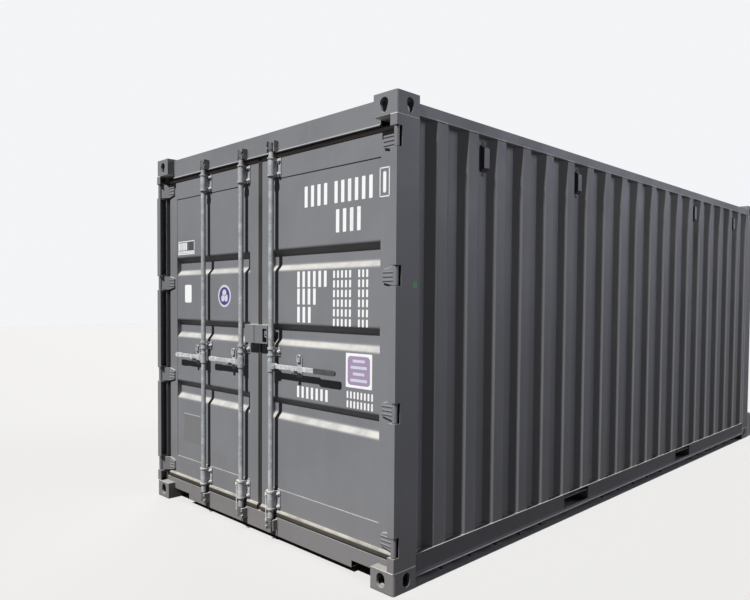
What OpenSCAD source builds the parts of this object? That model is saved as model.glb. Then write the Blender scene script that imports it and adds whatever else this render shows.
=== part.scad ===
// Twenty foot freight container with double doors at one end.
// X runs along the length with the doors at -X, Y across the width, Z up from the ground.

/* [Overall] */
// Length over the corner fittings
length = 6058; // [4500:1:9200]
// Width over the corner fittings
width = 2438; // [2300:1:2600]
// Height over the corner fittings
height = 2591; // [2400:1:2900]

/* [Corner fittings] */
// Length of a fitting along the container
fitting_l = 178; // [170:1:190]
// Width of a fitting across the container
fitting_w = 162; // [150:1:172]
// Height of a fitting
fitting_h = 118; // [110:1:126]
// Thickness of the plate with the lifting hole
fitting_plate = 28; // [20:1:30]
// Thickness of the outer end and side walls
fitting_wall = 16; // [10:1:22]
// Thickness of the inner walls
fitting_back = 10; // [8:1:14]
// Rounding of the outer corner edge
fitting_r = 14; // [8:1:18]
// Distance from the end face in to the hole centres
hole_in_x = 102.5; // [98:0.5:106]
// Distance from the side face in to the hole centres
hole_in_y = 89.5; // [86:0.5:92]
// Height of the side and end hole centres above the foot of a fitting
hole_up = 63; // [60:1:66]
// Length of a lifting hole
hole_l = 124; // [110:1:130]
// Width of a lifting hole
hole_w = 63.5; // [50:0.5:70]
// Width of a side or end hole at its wide end
shield_w = 57; // [44:1:64]
// Width of a side or end hole at its narrow end in the top fittings
shield_narrow = 38; // [30:1:44]
// Height of a side or end hole
shield_h = 78; // [68:1:82]

/* [Posts] */
// Plate thickness of the posts
post_t = 6; // [4:0.5:8]
// Width of the front lip of a door post
post_lip = 46; // [36:1:56]
// Depth of the hinge pocket behind the lip
pocket_d = 54; // [52:1:62]
// Depth of the inner channel of a door post
channel_d = 113; // [100:1:118]
// Plate thickness of the inner channel
channel_t = 8; // [6:1:12]
// Return flange of a closed end post
post_return = 46; // [30:1:60]
// Set back of the closed end rails from the posts
end_inset = 8; // [4:1:14]

/* [Side rails] */
// Size of the square top rail
top_rail = 60; // [50:1:70]
// Distance from the top of the fittings down to the top rail
top_rail_drop = 41; // [36:1:50]
// Wall of the top rail
top_rail_t = 4; // [3:0.5:6]
// Height of the underside of the bottom side rail
bottom_rail_z = 57; // [45:1:62]
// Height of the bottom side rail
bottom_rail_h = 121; // [112:1:126]
// Thickness of the bottom side rail
bottom_rail_t = 4.5; // [3:0.5:6]
// Width of its top flange
bottom_flange = 48; // [40:1:60]

/* [Walls] */
// Pitch of the side wall corrugations
wave_pitch = 290; // [270:1:310]
// Width of the outer face of a corrugation
wave_outer = 90; // [70:1:100]
// Width of the inner face of a corrugation
wave_inner = 72; // [60:1:90]
// Depth of the side wall corrugations
wave_depth = 36; // [25:1:45]
// Distance of the middle of the corrugations from the middle of the wall, toward the doors
wave_shift = 36; // [0:1:60]
// Sheet thickness of the side walls
wall_t = 2; // [1.6:0.2:3]
// Pitch of the closed end corrugations
end_pitch = 250; // [230:1:270]
// Outer face of a closed end corrugation
end_outer = 100; // [80:1:110]
// Inner face of a closed end corrugation
end_inner = 90; // [70:1:100]
// Depth of the closed end corrugations
end_depth = 45; // [30:1:50]

/* [Roof] */
// Thickness of the roof sheet
roof_t = 2; // [1.6:0.2:3]
// Pitch of the stamped roof pads
pad_pitch = 224; // [200:1:260]
// Flat top of a roof pad along the container
pad_top = 110; // [90:1:130]
// Rise of a roof pad
pad_rise = 26; // [15:1:30]
// Sloped flank of a roof pad
pad_slope = 42; // [30:1:44]
// Flat margin from the rail edge to the pads
pad_margin = 85; // [60:1:120]

/* [Underframe] */
// Top of the wooden floor above the ground
floor_z = 177; // [165:1:180]
// Thickness of the wooden floor
floor_t = 28; // [24:1:32]
// Height of the cross members
member_h = 122; // [100:1:130]
// Flange width of the cross members
member_w = 45; // [35:1:55]
// Thickness of the cross members
member_t = 4; // [3:0.5:6]
// Greatest pitch of the cross members
member_pitch = 290; // [250:1:340]
// Distance between the fork pocket centres
fork_pitch = 2080; // [1900:1:2150]
// Width of a fork pocket
fork_w = 360; // [330:1:380]
// Underside of the fork opening in the side rail
fork_z = 80; // [72:1:90]
// Plate thickness of the fork pockets
fork_t = 4.5; // [3:0.5:6]
// Depth of the straps under the pocket mouths
fork_strap = 200; // [150:1:300]

/* [Door end frame] */
// Set back of the header and sill faces from the fitting face
frame_back = 59; // [56:1:64]
// Height of the door header
header_h = 138; // [128:1:160]
// Depth of the header box
header_d = 90; // [70:1:110]
// Gap from the header box to the top of the fittings
header_drop = 9; // [6:1:20]
// Plate thickness of the header and sill
frame_t = 4; // [3:0.5:8]
// Underside of the door sill above the ground
sill_z = 33; // [25:1:45]
// Depth of the drip lip under the header
drip_d = 10; // [6:1:14]
// Height of the drip lip
drip_h = 12; // [8:1:14]
// Top of the door sill above the ground
sill_top = 150; // [140:1:152]
// Depth of the sill flanges
sill_flange = 75; // [60:1:90]
// Lap of the threshold plate on the sill
threshold_lap = 24; // [16:1:30]
// Set back of the header under the top fittings
tab_back = 36; // [20:1:50]
// Width of the cut out in the sill beside each fitting
notch_w = 200; // [150:1:220]
// Height above the ground of the top of the cut out
notch_z = 73; // [60:1:85]

/* [Doors] */
// Set back of the outer face of the leaves from the fitting face
leaf_back = 73; // [70:1:78]
// Thickness of a leaf
leaf_t = 50; // [40:1:60]
// Gap between the two leaves
leaf_gap = 26; // [20:1:34]
// Gap between a leaf and its post
leaf_side = 27; // [22:1:34]
// Underside of the leaves above the ground
leaf_z = 180; // [178:1:190]
// Gap between the leaves and the header
leaf_top_gap = 26; // [18:1:34]
// Width of the upright members
stile_w = 100; // [80:1:110]
// Height of the top member
top_member = 130; // [100:1:150]
// Height of the bottom member
bottom_member = 148; // [110:1:170]
// Wall of the leaf members
leaf_wall = 4; // [3:0.5:6]
// Set back of the panel from the leaf face
panel_back = 4; // [2:1:8]
// Thickness of the door panel
panel_t = 2; // [1.6:0.2:3]
// Depth of the panel grooves
groove_d = 34; // [20:1:38]
// Height of the lowest groove centre
groove_z = 846; // [700:1:900]
// Pitch of the grooves
groove_pitch = 466; // [380:1:500]
// Height of the flat bottom of a groove
groove_flat = 42; // [30:1:60]
// Height of each sloped side of a groove
groove_slope = 46; // [30:1:60]
// Thickness of the rubber seal lip
seal_t = 12; // [8:1:16]
// Set back of the seal from the leaf face
seal_back = 8; // [6:1:12]
// Reach of the seal past the free edge of a leaf
seal_reach = 8; // [4:0.5:9]
// Radius of the hollow bead along the seal
seal_bead = 10; // [7:0.5:10]
// Running gap between the seal and the frame
seal_gap = 5; // [4:0.5:6]

/* [Hinges] */
// Hinge pin axis behind the fitting face
pin_back = 17; // [16:0.5:19]
// Hinge pin axis inside the fitting side face
pin_in = 16; // [15:0.5:18]
// Hinge pin radius
pin_r = 8; // [6:0.5:9]
// Knuckle radius
knuckle_r = 14; // [12:0.5:15]
// Height of a hinge blade at its knuckle
blade_h = 100; // [80:1:110]
// Height of a hinge blade at its tip
blade_tip_h = 66; // [50:1:80]
// Thickness of a hinge blade
blade_t = 10; // [8:1:12]
// Height of the ribs on a hinge blade
rib_h = 7; // [5:0.5:9]
// Distance between the ribs of a hinge blade
rib_pitch = 22; // [18:1:24]
// Rise of the ribs of a hinge blade
rib_d = 3; // [2:0.5:5]
// Reach of a blade over the leaf from the leaf edge
blade_reach = 73; // [50:1:90]
// Height of the head of a hinge pin
pin_head_h = 4; // [3:0.5:6]
// Rise of the head of a hinge pin over the pin
pin_head_w = 1.5; // [1:0.5:3]
// Thickness of the hinge lugs
lug_t = 12; // [8:1:16]
// Running gap between a blade and its lugs
lug_gap = 3; // [2:0.5:5]
// Running clearance of pins in their bores
pin_clear = 0.05; // [0.02:0.01:0.1]
// Height of the lowest hinge
hinge_low = 250; // [240:1:280]
// Height of the second hinge
hinge_second = 948; // [900:1:1000]
// Height of the third hinge
hinge_third = 1655; // [1600:1:1700]
// Distance from the header down to the top hinge
hinge_drop = 84; // [80:1:110]

/* [Lock gear] */
// Radius of the lock rods
rod_r = 17; // [14:0.5:19]
// Lock rod axis behind the fitting face
rod_back = 29; // [27:0.5:31]
// Running clearance of the rods in their brackets
rod_clear = 0.4; // [0.2:0.1:0.8]
// Distance of the rod on the right leaf from the middle
rod_right_y = 165; // [150:1:250]
// Distance of the inner rod on the left leaf from the middle
rod_inner_y = 155; // [150:1:250]
// Distance of the outer rod on the left leaf from the middle
rod_outer_y = 610; // [560:1:700]
// Radius of the cam nose
cam_r = 26; // [24:0.5:27]
// Radius of the cam body
cam_body_r = 19; // [18:0.5:19.5]
// Height of a cam
cam_h = 44; // [30:1:50]
// Clearance between a cam and its keeper
cam_gap = 1; // [0.5:0.5:1.5]
// Height of a cam keeper
keeper_h = 68; // [56:1:76]
// Keeper centre above the sill underside
keeper_low = 75; // [60:1:80]
// Keeper centre above the header underside
keeper_high = 36; // [35:1:60]
// Plate thickness of a keeper
keeper_t = 7; // [5:0.5:8]
// Reach of a keeper in front of the rod axis
keeper_reach = 18; // [14:1:22]
// Thickness of the back plate of a keeper
keeper_back = 3; // [2:0.5:3]
// Height of one prong of a cam
prong_h = 15; // [12:0.5:17]
// Width of the rod bearings at the top and bottom
bearing_w = 92; // [80:1:96]
// Height of the rod bearings at the top and bottom
bearing_h = 116; // [100:1:130]
// Width of the bearing above a handle
mid_bearing_w = 80; // [70:1:84]
// Height of the bearing above a handle
mid_bearing_h = 54; // [44:1:60]
// Plate thickness of the bearings
bearing_t = 6; // [4:0.5:8]
// Wall of a bearing sleeve
sleeve_t = 5; // [3:0.5:6]
// Height of the flared ends of the long sleeves
flare_h = 9; // [6:0.5:12]
// Height of the two bands of a middle bearing
mid_band_h = 14; // [10:1:18]
// Rise of the flared ends over the sleeve
flare_d = 4; // [2:0.5:4]
// Distance from the leaf top down to the middle of a top bearing
bearing_drop = 65; // [60:1:80]
// Distance from the leaf foot up to the middle of a bottom bearing
bearing_rise = 82; // [70:1:100]
// Distance from the handle middle up to the bearing above it
mid_bearing_rise = 88; // [84:1:96]
// Height of the handle hub middle above the ground
handle_z = 1115; // [1000:1:1150]
// Reach of the two handles on the left leaf
handle_short = 380; // [340:1:430]
// Reach of the handle on the right leaf
handle_long = 592; // [500:1:650]
// Height of a handle bar
handle_h = 26; // [20:1:30]
// Height of a handle grip
grip_h = 32; // [28:1:36]
// Length of the grip of the long handle
grip_long = 190; // [120:1:240]
// Length of the grip of the short handles
grip_short = 90; // [60:1:130]
// Set out of the long grip from its bar
grip_out = 8; // [4:1:10]
// Thickness of a handle bar
handle_t = 12; // [8:1:14]
// Distance from a rod axis to its handle pivot
pivot_y = 34; // [32:1:40]
// Radius of the handle pivot
pivot_r = 6; // [5:0.5:7]
// Reach of the handle pivot beyond the hub cheeks
pivot_end = 2; // [1:0.5:3]
// Height of the hub on a rod
hub_h = 74; // [60:1:80]
// Wall of the hub on a rod
hub_t = 5; // [4:0.5:6]
// Thickness of the hub cheeks
cheek_t = 6; // [4:0.5:7]
// Half height of the hub cheeks
cheek_r = 18; // [15:0.5:22]
// Gap between the handle and the hub cheeks
cheek_gap = 1; // [0.5:0.1:2]
// Distance from a rod axis to the catch of the short handles
catch_short = 140; // [120:1:200]
// Distance from a rod axis to the catch of the long handle
catch_long = 227; // [180:1:300]
// Clearance between a handle and the hook of its catch
hook_gap = 3; // [2:0.5:4]
// Height of the hook of a catch below a grip
shelf_gap = 1; // [0.5:0.5:3]
// Width of a catch plate
catch_w = 46; // [40:1:60]
// Plate thickness of a catch
catch_t = 6; // [4:0.5:8]
// Reach of a catch plate below the handle middle
catch_low = 58; // [40:1:64]
// Reach of a catch above the handle middle
catch_high = 82; // [70:1:90]
// Width of a catch hook
hook_w = 26; // [20:1:34]
// Radius of the eye on a catch
eye_r = 15; // [12:0.5:17]
// Radius of the hole in the eye
eye_hole = 7; // [5:0.5:8]

/* [Lock box] */
// Height of the lock box
box_h = 118; // [100:1:140]
// Underside of the lock box above the ground
box_z = 1250; // [1240:1:1256]
// Depth of the lock box in front of the leaf
box_d = 52; // [40:1:56]
// Plate thickness of the lock box
box_t = 5; // [4:0.5:8]
// Reach of its left half from the middle
box_left = 101; // [90:1:105]
// Reach of its right half from the middle
box_right = 140; // [100:1:142]
// Gap between its halves
box_gap = 6; // [5:0.5:10]
// Width of the slot in the right half
slot_w = 44; // [36:1:50]
// Height of the slot in the right half
slot_h = 86; // [70:1:92]
// Rim beside and under the slot
slot_rim = 9; // [6:1:12]

/* [Vents] */
// Length of a vent cover
vent_l = 52; // [44:1:70]
// Height of a vent cover
vent_h = 160; // [120:1:200]
// Depth of a vent cover
vent_d = 28; // [15:1:32]
// Height of its sloped top and of its sloped bottom
vent_slope = 22; // [10:1:30]
// Distance from the top rail down to a vent
vent_drop = 45; // [40:1:120]

/* [Hold back ropes] */
// Diameter of a hold back rope
rope_d = 6; // [4:0.5:6]

/* [Hidden] */
$fn = 48;

paint = [0.27, 0.27, 0.29];
zinc = [0.66, 0.68, 0.70];
rubber = [0.06, 0.06, 0.06];
plywood = [0.45, 0.30, 0.18];
cord_white = [0.85, 0.84, 0.80];
cut = 1;

x_door = -length / 2;
x_end = length / 2;
y_side = width / 2;
post_z = fitting_h;
post_top = height - fitting_h;
wall_y = y_side - post_t;
x_inner_door = x_door + fitting_l;
x_inner_end = x_end - fitting_l;

rail_top_z = height - top_rail_drop;
rail_low_z = rail_top_z - top_rail;
bottom_rail_top = bottom_rail_z + bottom_rail_h;
flange_y = wall_y - bottom_flange;

opening_y = y_side - post_lip;
x_pocket = x_door + pocket_d;
x_channel = x_pocket + channel_d;
x_frame = x_door + frame_back;
x_leaf = x_door + leaf_back;
x_leaf_in = x_leaf + leaf_t;
leaf_edge = opening_y - leaf_side;
leaf_free = leaf_gap / 2;
header_top = height - header_drop;
header_z = header_top - header_h;
leaf_top = header_z - leaf_top_gap;
inner_y = y_side - fitting_w;

pin_x = x_door + pin_back;
pin_y = y_side - pin_in;
rod_x = x_door + rod_back;
hinge_zs = [hinge_low, hinge_second, hinge_third, header_z - hinge_drop];
hinge_half = blade_h / 2 + lug_gap;
window_d = 41;
fork_in = fork_pitch / 2 - fork_w / 2;
fork_out = fork_pitch / 2 + fork_w / 2;
fork_top = floor_z - floor_t;
web_y = wall_y - bottom_rail_t;
x_end_rail = x_end - post_t - end_inset;
rod_face = leaf_back - rod_back;
low_bearing_top = leaf_z + bearing_rise + bearing_h / 2;

// Route of a hold back rope from its rod axis and the top of the bottom bearing:
// a noose round the rod, then a free end that hangs beside the bearing.
rope_route = [
    [-16, 24.5, -14], [-13.5, 27, -3], [-9.5, 26.5, 4], [-2, 22.6, 3.5], [12, 19, 3.3],
    [20, 10, 3.3], [22.4, 0, 3.3], [20, -10, 3.3], [12, -19, 3.3], [0, -22.4, 3.3],
    [-12, -19, 3.3], [-20, -10, 3.3], [-23, 2, 3.3], [-24, 8, 5], [-24.5, 16, 1.5],
    [-23, 18.5, -8], [-21, 20.8, -20], [-21, 21, -36], [-21, 21, -52], [-21, 21, -68],
    [-21, 21, -84], [-21, 21, -100], [-21, 21, -116], [-21, 21, -132], [-21, 21, -148],
    [-21, 21, -164], [-21, 21, -180], [-21, 21, -198]
];

cam_lean = 20;
keeper_zs = [sill_z + keeper_low, header_z + keeper_high];
wave_slope = (wave_pitch - wave_outer - wave_inner) / 2;
wall_lap = 9;
wall_half = x_inner_end + wall_lap;
wave_half = wave_inner / 2 + wave_slope;
wave_count = 2 * floor((wall_half - wave_half) / wave_pitch + 0.5);

function wave_x(i) = (i - (wave_count - 1) / 2) * wave_pitch - wave_shift;

// Oblong hole outline with round ends, long way on X.
module oblong(l, w) {
    square([l - w, w], center = true);
    for (a = [-1, 1])
        translate([a * (l - w) / 2, 0]) circle(w / 2);
}

// Hole outline with round ends of two widths, wide end up.
module shield(w_top, w_low, h) {
    reach = h - w_top / 2 - w_low / 2;
    lean = asin((w_top - w_low) / 2 / reach);
    top_z = h / 2 - w_top / 2;
    low_z = w_low / 2 - h / 2;
    translate([0, top_z]) circle(w_top / 2);
    translate([0, low_z]) circle(w_low / 2);
    polygon([
        [-cos(lean) * w_top / 2, top_z - sin(lean) * w_top / 2],
        [cos(lean) * w_top / 2, top_z - sin(lean) * w_top / 2],
        [cos(lean) * w_low / 2, low_z - sin(lean) * w_low / 2],
        [-cos(lean) * w_low / 2, low_z - sin(lean) * w_low / 2]
    ]);
}

// Profile drawn in X and Z, pulled across the width, centred on the middle.
module across(w) {
    translate([0, w / 2, 0]) rotate([90, 0, 0]) linear_extrude(w) children();
}

// Profile drawn in Y and Z, pulled along the length from x1 to x2.
module along(x1, x2) {
    translate([x1, 0, 0]) rotate([90, 0, 90]) linear_extrude(x2 - x1) children();
}

// Profile drawn in X and Y, pulled up from z1 to z2.
module upright(z1, z2) {
    translate([0, 0, z1]) linear_extrude(z2 - z1) children();
}

// Side or end hole of a fitting: oblong below, tapered on the top fittings.
module lashing_hole(tapered) {
    if (tapered) {
        rotate(180) shield(shield_w, shield_narrow, shield_h);
    } else {
        rotate(90) oblong(shield_h, shield_w);
    }
}

// Corner casting with its outer corner at the origin and its lifting hole underneath.
module fitting(tapered) {
    difference() {
        upright(0, fitting_h) union() {
            translate([fitting_r, 0]) square([fitting_l - fitting_r, fitting_w]);
            translate([0, fitting_r]) square([fitting_l, fitting_w - fitting_r]);
            translate([fitting_r, fitting_r]) circle(fitting_r);
        }
        translate([fitting_wall, fitting_wall, fitting_plate])
            cube([
                fitting_l - fitting_wall - fitting_back,
                fitting_w - fitting_wall - fitting_back,
                fitting_h - fitting_plate - fitting_back
            ]);
        translate([hole_in_x, hole_in_y, 0]) upright(-cut, fitting_plate + cut) oblong(hole_l, hole_w);
        translate([hole_in_x, fitting_wall + cut, hole_up]) rotate([90, 0, 0])
            linear_extrude(fitting_wall + 2 * cut) lashing_hole(tapered);
        translate([-cut, hole_in_y, hole_up]) rotate([90, 0, 90])
            linear_extrude(fitting_wall + 2 * cut) lashing_hole(tapered);
    }
}

// The two bottom fittings of one end, mirrored for the left side.
module fitting_pair(tapered) {
    for (side = [0, 1])
        mirror([0, side, 0]) translate([x_door, -y_side, 0]) fitting(tapered);
}

module bottom_fittings_door_end() {
    color(paint) fitting_pair(false);
}

module bottom_fittings_closed_end() {
    color(paint) mirror([1, 0, 0]) fitting_pair(false);
}

module top_fittings_door_end() {
    color(paint) translate([0, 0, height]) mirror([0, 0, 1]) fitting_pair(true);
}

module top_fittings_closed_end() {
    color(paint) translate([0, 0, height]) mirror([0, 0, 1])
        mirror([1, 0, 0]) fitting_pair(true);
}

// Door post: a J plate outside and a channel behind the hinge pocket, with a window,
// two lugs and their pin holes at each hinge.
module rear_post() {
    difference() {
        upright(post_z, post_top) union() {
            translate([x_door, -y_side]) square([fitting_l, post_t]);
            translate([x_door, -y_side]) square([post_t, post_lip]);
            translate([x_pocket, -wall_y]) square([channel_t, wall_y - opening_y]);
            translate([x_pocket, -opening_y - channel_t]) square([channel_d, channel_t]);
            translate([x_channel - channel_t, -wall_y]) square([channel_t, wall_y - opening_y]);
        }
        for (z = hinge_zs)
            translate([x_door - cut, -y_side - cut, z - hinge_half])
                cube([window_d + cut, post_lip + 2 * cut, 2 * hinge_half]);
    }
    for (z = hinge_zs, up = [-1, 1])
        difference() {
            translate([x_door + post_t, -wall_y, z + up * (hinge_half + lug_t / 2) - lug_t / 2])
                cube([pocket_d - post_t, wall_y - opening_y - lug_gap, lug_t]);
            translate([pin_x, -pin_y, z + up * (hinge_half + lug_t / 2) - lug_t / 2 - cut])
                cylinder(r = pin_r + pin_clear, h = lug_t + 2 * cut);
        }
}

module rear_post_right() {
    color(paint) rear_post();
}

module rear_post_left() {
    color(paint) mirror([0, 1, 0]) rear_post();
}

// Closed end post: an open section pressed from one plate.
module front_post() {
    upright(post_z, post_top) union() {
        translate([x_inner_end, -y_side]) square([fitting_l, post_t]);
        translate([x_end - post_t, -y_side]) square([post_t, fitting_w]);
        translate([x_end - post_return, -inner_y - post_t]) square([post_return, post_t]);
        translate([x_inner_end + wall_lap, -y_side]) square([post_t, post_return]);
    }
}

module front_post_right() {
    color(paint) front_post();
}

module front_post_left() {
    color(paint) mirror([0, 1, 0]) front_post();
}

// Hollow box outline in X and Z.
module tube_outline(x1, x2, z1, z2, t) {
    difference() {
        translate([x1, z1]) square([x2 - x1, z2 - z1]);
        translate([x1 + t, z1 + t]) square([x2 - x1 - 2 * t, z2 - z1 - 2 * t]);
    }
}

module door_header() {
    color(paint) {
        intersection() {
            across(2 * opening_y)
                tube_outline(x_frame, x_frame + header_d, header_z, header_top, frame_t);
            union() {
                translate([x_door, -inner_y, header_z]) cube([fitting_l, 2 * inner_y, header_top]);
                translate([x_frame + tab_back, -opening_y, header_z])
                    cube([fitting_l, 2 * opening_y, post_top - header_z]);
            }
        }
        across(2 * inner_y) polygon([
            [x_frame, header_z], [x_frame, header_z + drip_h],
            [x_frame - drip_d, header_z + frame_t], [x_frame - drip_d, header_z]
        ]);
    }
}

module door_sill() {
    color(paint) difference() {
        intersection() {
            across(2 * opening_y) union() {
                translate([x_frame, sill_z]) square([frame_t, sill_top - sill_z]);
                translate([x_frame, sill_top - frame_t]) square([sill_flange, frame_t]);
                translate([x_frame, sill_z]) square([sill_flange, frame_t]);
            }
            union() {
                translate([x_door, -inner_y, 0]) cube([fitting_l, 2 * inner_y, sill_top]);
                translate([x_door, -opening_y, fitting_h])
                    cube([fitting_l, 2 * opening_y, sill_top - fitting_h]);
            }
        }
        for (side = [-1, 1])
            translate([x_door, side * (inner_y - notch_w / 2) - notch_w / 2, 0])
                cube([fitting_l, notch_w, notch_z]);
    }
}

// Bent plate that leads from the sill up to the floor.
module threshold() {
    x_foot = x_frame + sill_flange;
    color(paint) across(2 * flange_y) polygon([
        [x_foot - threshold_lap, sill_top], [x_foot - threshold_lap, sill_top + frame_t],
        [x_foot, sill_top + frame_t], [x_inner_door, floor_z],
        [x_inner_door, floor_z - frame_t], [x_foot, sill_top]
    ]);
}

module front_top_rail() {
    color(paint) across(2 * inner_y) union() {
        tube_outline(x_end_rail - top_rail, x_end_rail, rail_low_z, rail_top_z, top_rail_t);
        translate([x_end_rail - top_rail_t, rail_top_z])
            square([top_rail_t, header_top - rail_top_z]);
    }
}

module front_bottom_rail() {
    color(paint) across(2 * inner_y) union() {
        translate([x_end_rail - frame_t, sill_z]) square([frame_t, bottom_rail_top - sill_z]);
        translate([x_end_rail - top_rail, bottom_rail_top - frame_t]) square([top_rail, frame_t]);
        translate([x_end_rail - top_rail, sill_z]) square([top_rail, frame_t]);
    }
}

module top_side_rail() {
    along(x_inner_door, x_inner_end) difference() {
        translate([-wall_y, rail_low_z]) square(top_rail);
        translate([-wall_y + top_rail_t, rail_low_z + top_rail_t])
            square(top_rail - 2 * top_rail_t);
    }
}

module top_side_rail_right() {
    color(paint) top_side_rail();
}

module top_side_rail_left() {
    color(paint) mirror([0, 1, 0]) top_side_rail();
}

// Pressed bottom rail: a flange inwards at the top and a lip outwards at the bottom.
module bottom_rail_section() {
    translate([-wall_y, bottom_rail_z]) square([bottom_rail_t, bottom_rail_h]);
    translate([-wall_y, bottom_rail_top - bottom_rail_t]) square([bottom_flange, bottom_rail_t]);
    translate([-y_side, bottom_rail_z]) square([post_t + bottom_rail_t, bottom_rail_t]);
}

// The rail of one side, in three lengths that stop at the fork pockets.
module bottom_side_rail() {
    for (stretch = [[x_inner_door, -fork_out], [-fork_in, fork_in], [fork_out, x_inner_end]])
        along(stretch[0], stretch[1]) bottom_rail_section();
}

module bottom_side_rail_right() {
    color(paint) bottom_side_rail();
}

module bottom_side_rail_left() {
    color(paint) mirror([0, 1, 0]) bottom_side_rail();
}

// Points along a folded sheet from -half to half, with recesses of the given depth.
// The first recess is cut short where it would run into the lap of the sheet.
function fold(half, count, pitch, inner, slope, depth, shift = 0) = concat(
    [[-half, 0]],
    [for (i = [0:count - 1], k = [0:3])
        [max((i - (count - 1) / 2) * pitch - shift
                + [-inner / 2 - slope, -inner / 2, inner / 2, inner / 2 + slope][k],
            -half + wall_lap + (k == 1 ? slope : 0)),
            k == 1 || k == 2 ? depth : 0]],
    [[half, 0]]
);

// Closed outline of a folded sheet of thickness t.
module folded_sheet(points, t) {
    last = len(points) - 1;
    polygon(concat(points, [for (i = [0:last]) points[last - i] + [0, t]]));
}

// Side wall between the rails, with a strip at each end that laps behind the post plate.
module side_wall() {
    difference() {
        upright(bottom_rail_top, rail_low_z) translate([0, -wall_y])
            folded_sheet(
                fold(wall_half, wave_count, wave_pitch, wave_inner, wave_slope, wave_depth, wave_shift), wall_t);
        for (end = [-1, 1])
            translate([end * (x_inner_end + wall_lap) - wall_lap, -y_side, post_top])
                cube([2 * wall_lap, fitting_w, fitting_h]);
    }
}

module side_wall_right() {
    color(paint) side_wall();
}

module side_wall_left() {
    color(paint) mirror([0, 1, 0]) side_wall();
}

module front_wall() {
    slope = (end_pitch - end_outer - end_inner) / 2;
    count = floor((2 * inner_y - end_outer / 2) / end_pitch);
    color(paint) upright(bottom_rail_top, rail_low_z)
        translate([x_end_rail - wall_t, 0]) rotate(90)
            folded_sheet(fold(inner_y, count, end_pitch, end_inner, slope, end_depth), wall_t);
}

// Upper surface of the roof: a flat plate with a row of stamped pads.
module roof_form() {
    roof_half_y = wall_y;
    pad_base = pad_top + 2 * pad_slope;
    pad_count = floor((2 * x_inner_end - 2 * pad_margin) / pad_pitch);
    pad_half_y = roof_half_y - pad_margin;
    upright(rail_top_z - cut, rail_top_z + roof_t) union() {
        translate([x_inner_door, -roof_half_y]) square([2 * x_inner_end, 2 * roof_half_y]);
        translate([x_frame + header_d, -inner_y])
            square([x_end_rail - top_rail_t - x_frame - header_d, 2 * inner_y]);
    }
    intersection() {
        across(width) for (i = [0:pad_count - 1])
            translate([(i - (pad_count - 1) / 2) * pad_pitch, rail_top_z + roof_t]) polygon([
                [-pad_base / 2, -cut], [pad_base / 2, -cut], [pad_base / 2, 0],
                [pad_top / 2, pad_rise], [-pad_top / 2, pad_rise], [-pad_base / 2, 0]
            ]);
        along(x_door, x_end) translate([0, rail_top_z + roof_t]) polygon([
            [-pad_half_y, -cut], [pad_half_y, -cut], [pad_half_y, 0],
            [pad_half_y - pad_slope, pad_rise], [pad_slope - pad_half_y, pad_rise], [-pad_half_y, 0]
        ]);
    }
}

module roof() {
    color(paint) difference() {
        roof_form();
        translate([0, 0, -roof_t]) roof_form();
        translate([x_door, -y_side, 0]) cube([length, width, rail_top_z]);
    }
}

module floor_boards() {
    color(plywood) translate([x_inner_door, -flange_y, floor_z - floor_t])
        cube([x_end_rail - top_rail - x_inner_door, 2 * flange_y, floor_t]);
}

// Cross members between x1 and x2, spread evenly.
module member_row(x1, x2) {
    gaps = ceil((x2 - x1) / member_pitch);
    z1 = floor_z - floor_t - member_h;
    for (i = [1:gaps - 1])
        translate([x1 + i * (x2 - x1) / gaps - member_w / 2, 0, z1])
            across(2 * (wall_y - bottom_rail_t)) union() {
                square([member_t, member_h]);
                square([member_w, member_t]);
                translate([0, member_h - member_t]) square([member_w, member_t]);
            }
}

module cross_members() {
    fork_edge = fork_pitch / 2 + fork_w / 2 + fork_t;
    color(paint) {
        member_row(x_inner_door, -fork_edge);
        member_row(fork_w - fork_edge + 2 * fork_t, fork_edge - fork_w - 2 * fork_t);
        member_row(fork_edge, x_inner_end);
    }
}

// One side plate of a fork pocket, from side rail to side rail.
module fork_pocket_side() {
    translate([0, 0, bottom_rail_z]) across(2 * web_y) square([fork_t, fork_top - bottom_rail_z]);
}

module fork_pocket_sides() {
    color(paint) for (end = [-1, 1])
        translate([end * fork_pitch / 2, 0, 0]) {
            translate([-fork_w / 2 - fork_t, 0, 0]) fork_pocket_side();
            translate([fork_w / 2, 0, 0]) fork_pocket_side();
        }
}

module fork_pocket_tops() {
    color(paint) for (end = [-1, 1])
        translate([end * fork_pitch / 2 - fork_w / 2, -web_y, fork_top - fork_t])
            cube([fork_w, 2 * web_y, fork_t]);
}

// Straps that close the pockets underneath, one behind each mouth.
module fork_pocket_straps() {
    color(paint) for (end = [-1, 1], side = [0, 1])
        mirror([0, side, 0])
            translate([end * fork_pitch / 2 - fork_w / 2, -web_y, bottom_rail_z])
                cube([fork_w, fork_strap, fork_t]);
}

// Bars over and under the pocket mouths, which carry the side rail past them.
module fork_mouth_bars() {
    color(paint) for (end = [-1, 1], side = [0, 1])
        mirror([0, side, 0]) difference() {
            translate([end * fork_pitch / 2 - fork_w / 2, 0, 0])
                along(0, fork_w) bottom_rail_section();
            translate([end * fork_pitch / 2 - fork_w / 2 - cut, -y_side - cut, fork_z])
                cube([fork_w + 2 * cut, 2 * bottom_flange, bottom_rail_top - bottom_rail_t - fork_z]);
        }
}

// Vent cover with sloped top and bottom, open underneath by a slot.
module vent() {
    face_y = wave_depth;
    rotate([90, 0, 90]) linear_extrude(vent_l, center = true) polygon([
        [face_y, 0], [face_y - vent_d, vent_slope],
        [face_y - vent_d, vent_h - vent_slope], [face_y, vent_h]
    ]);
}

module vents() {
    picks = [2, 6, wave_count - 6, wave_count - 2];
    color(paint) for (side = [0, 1], k = picks)
        mirror([0, side, 0])
            translate([wave_x(k), -wall_y, rail_low_z - vent_drop - vent_h]) vent();
}

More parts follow.
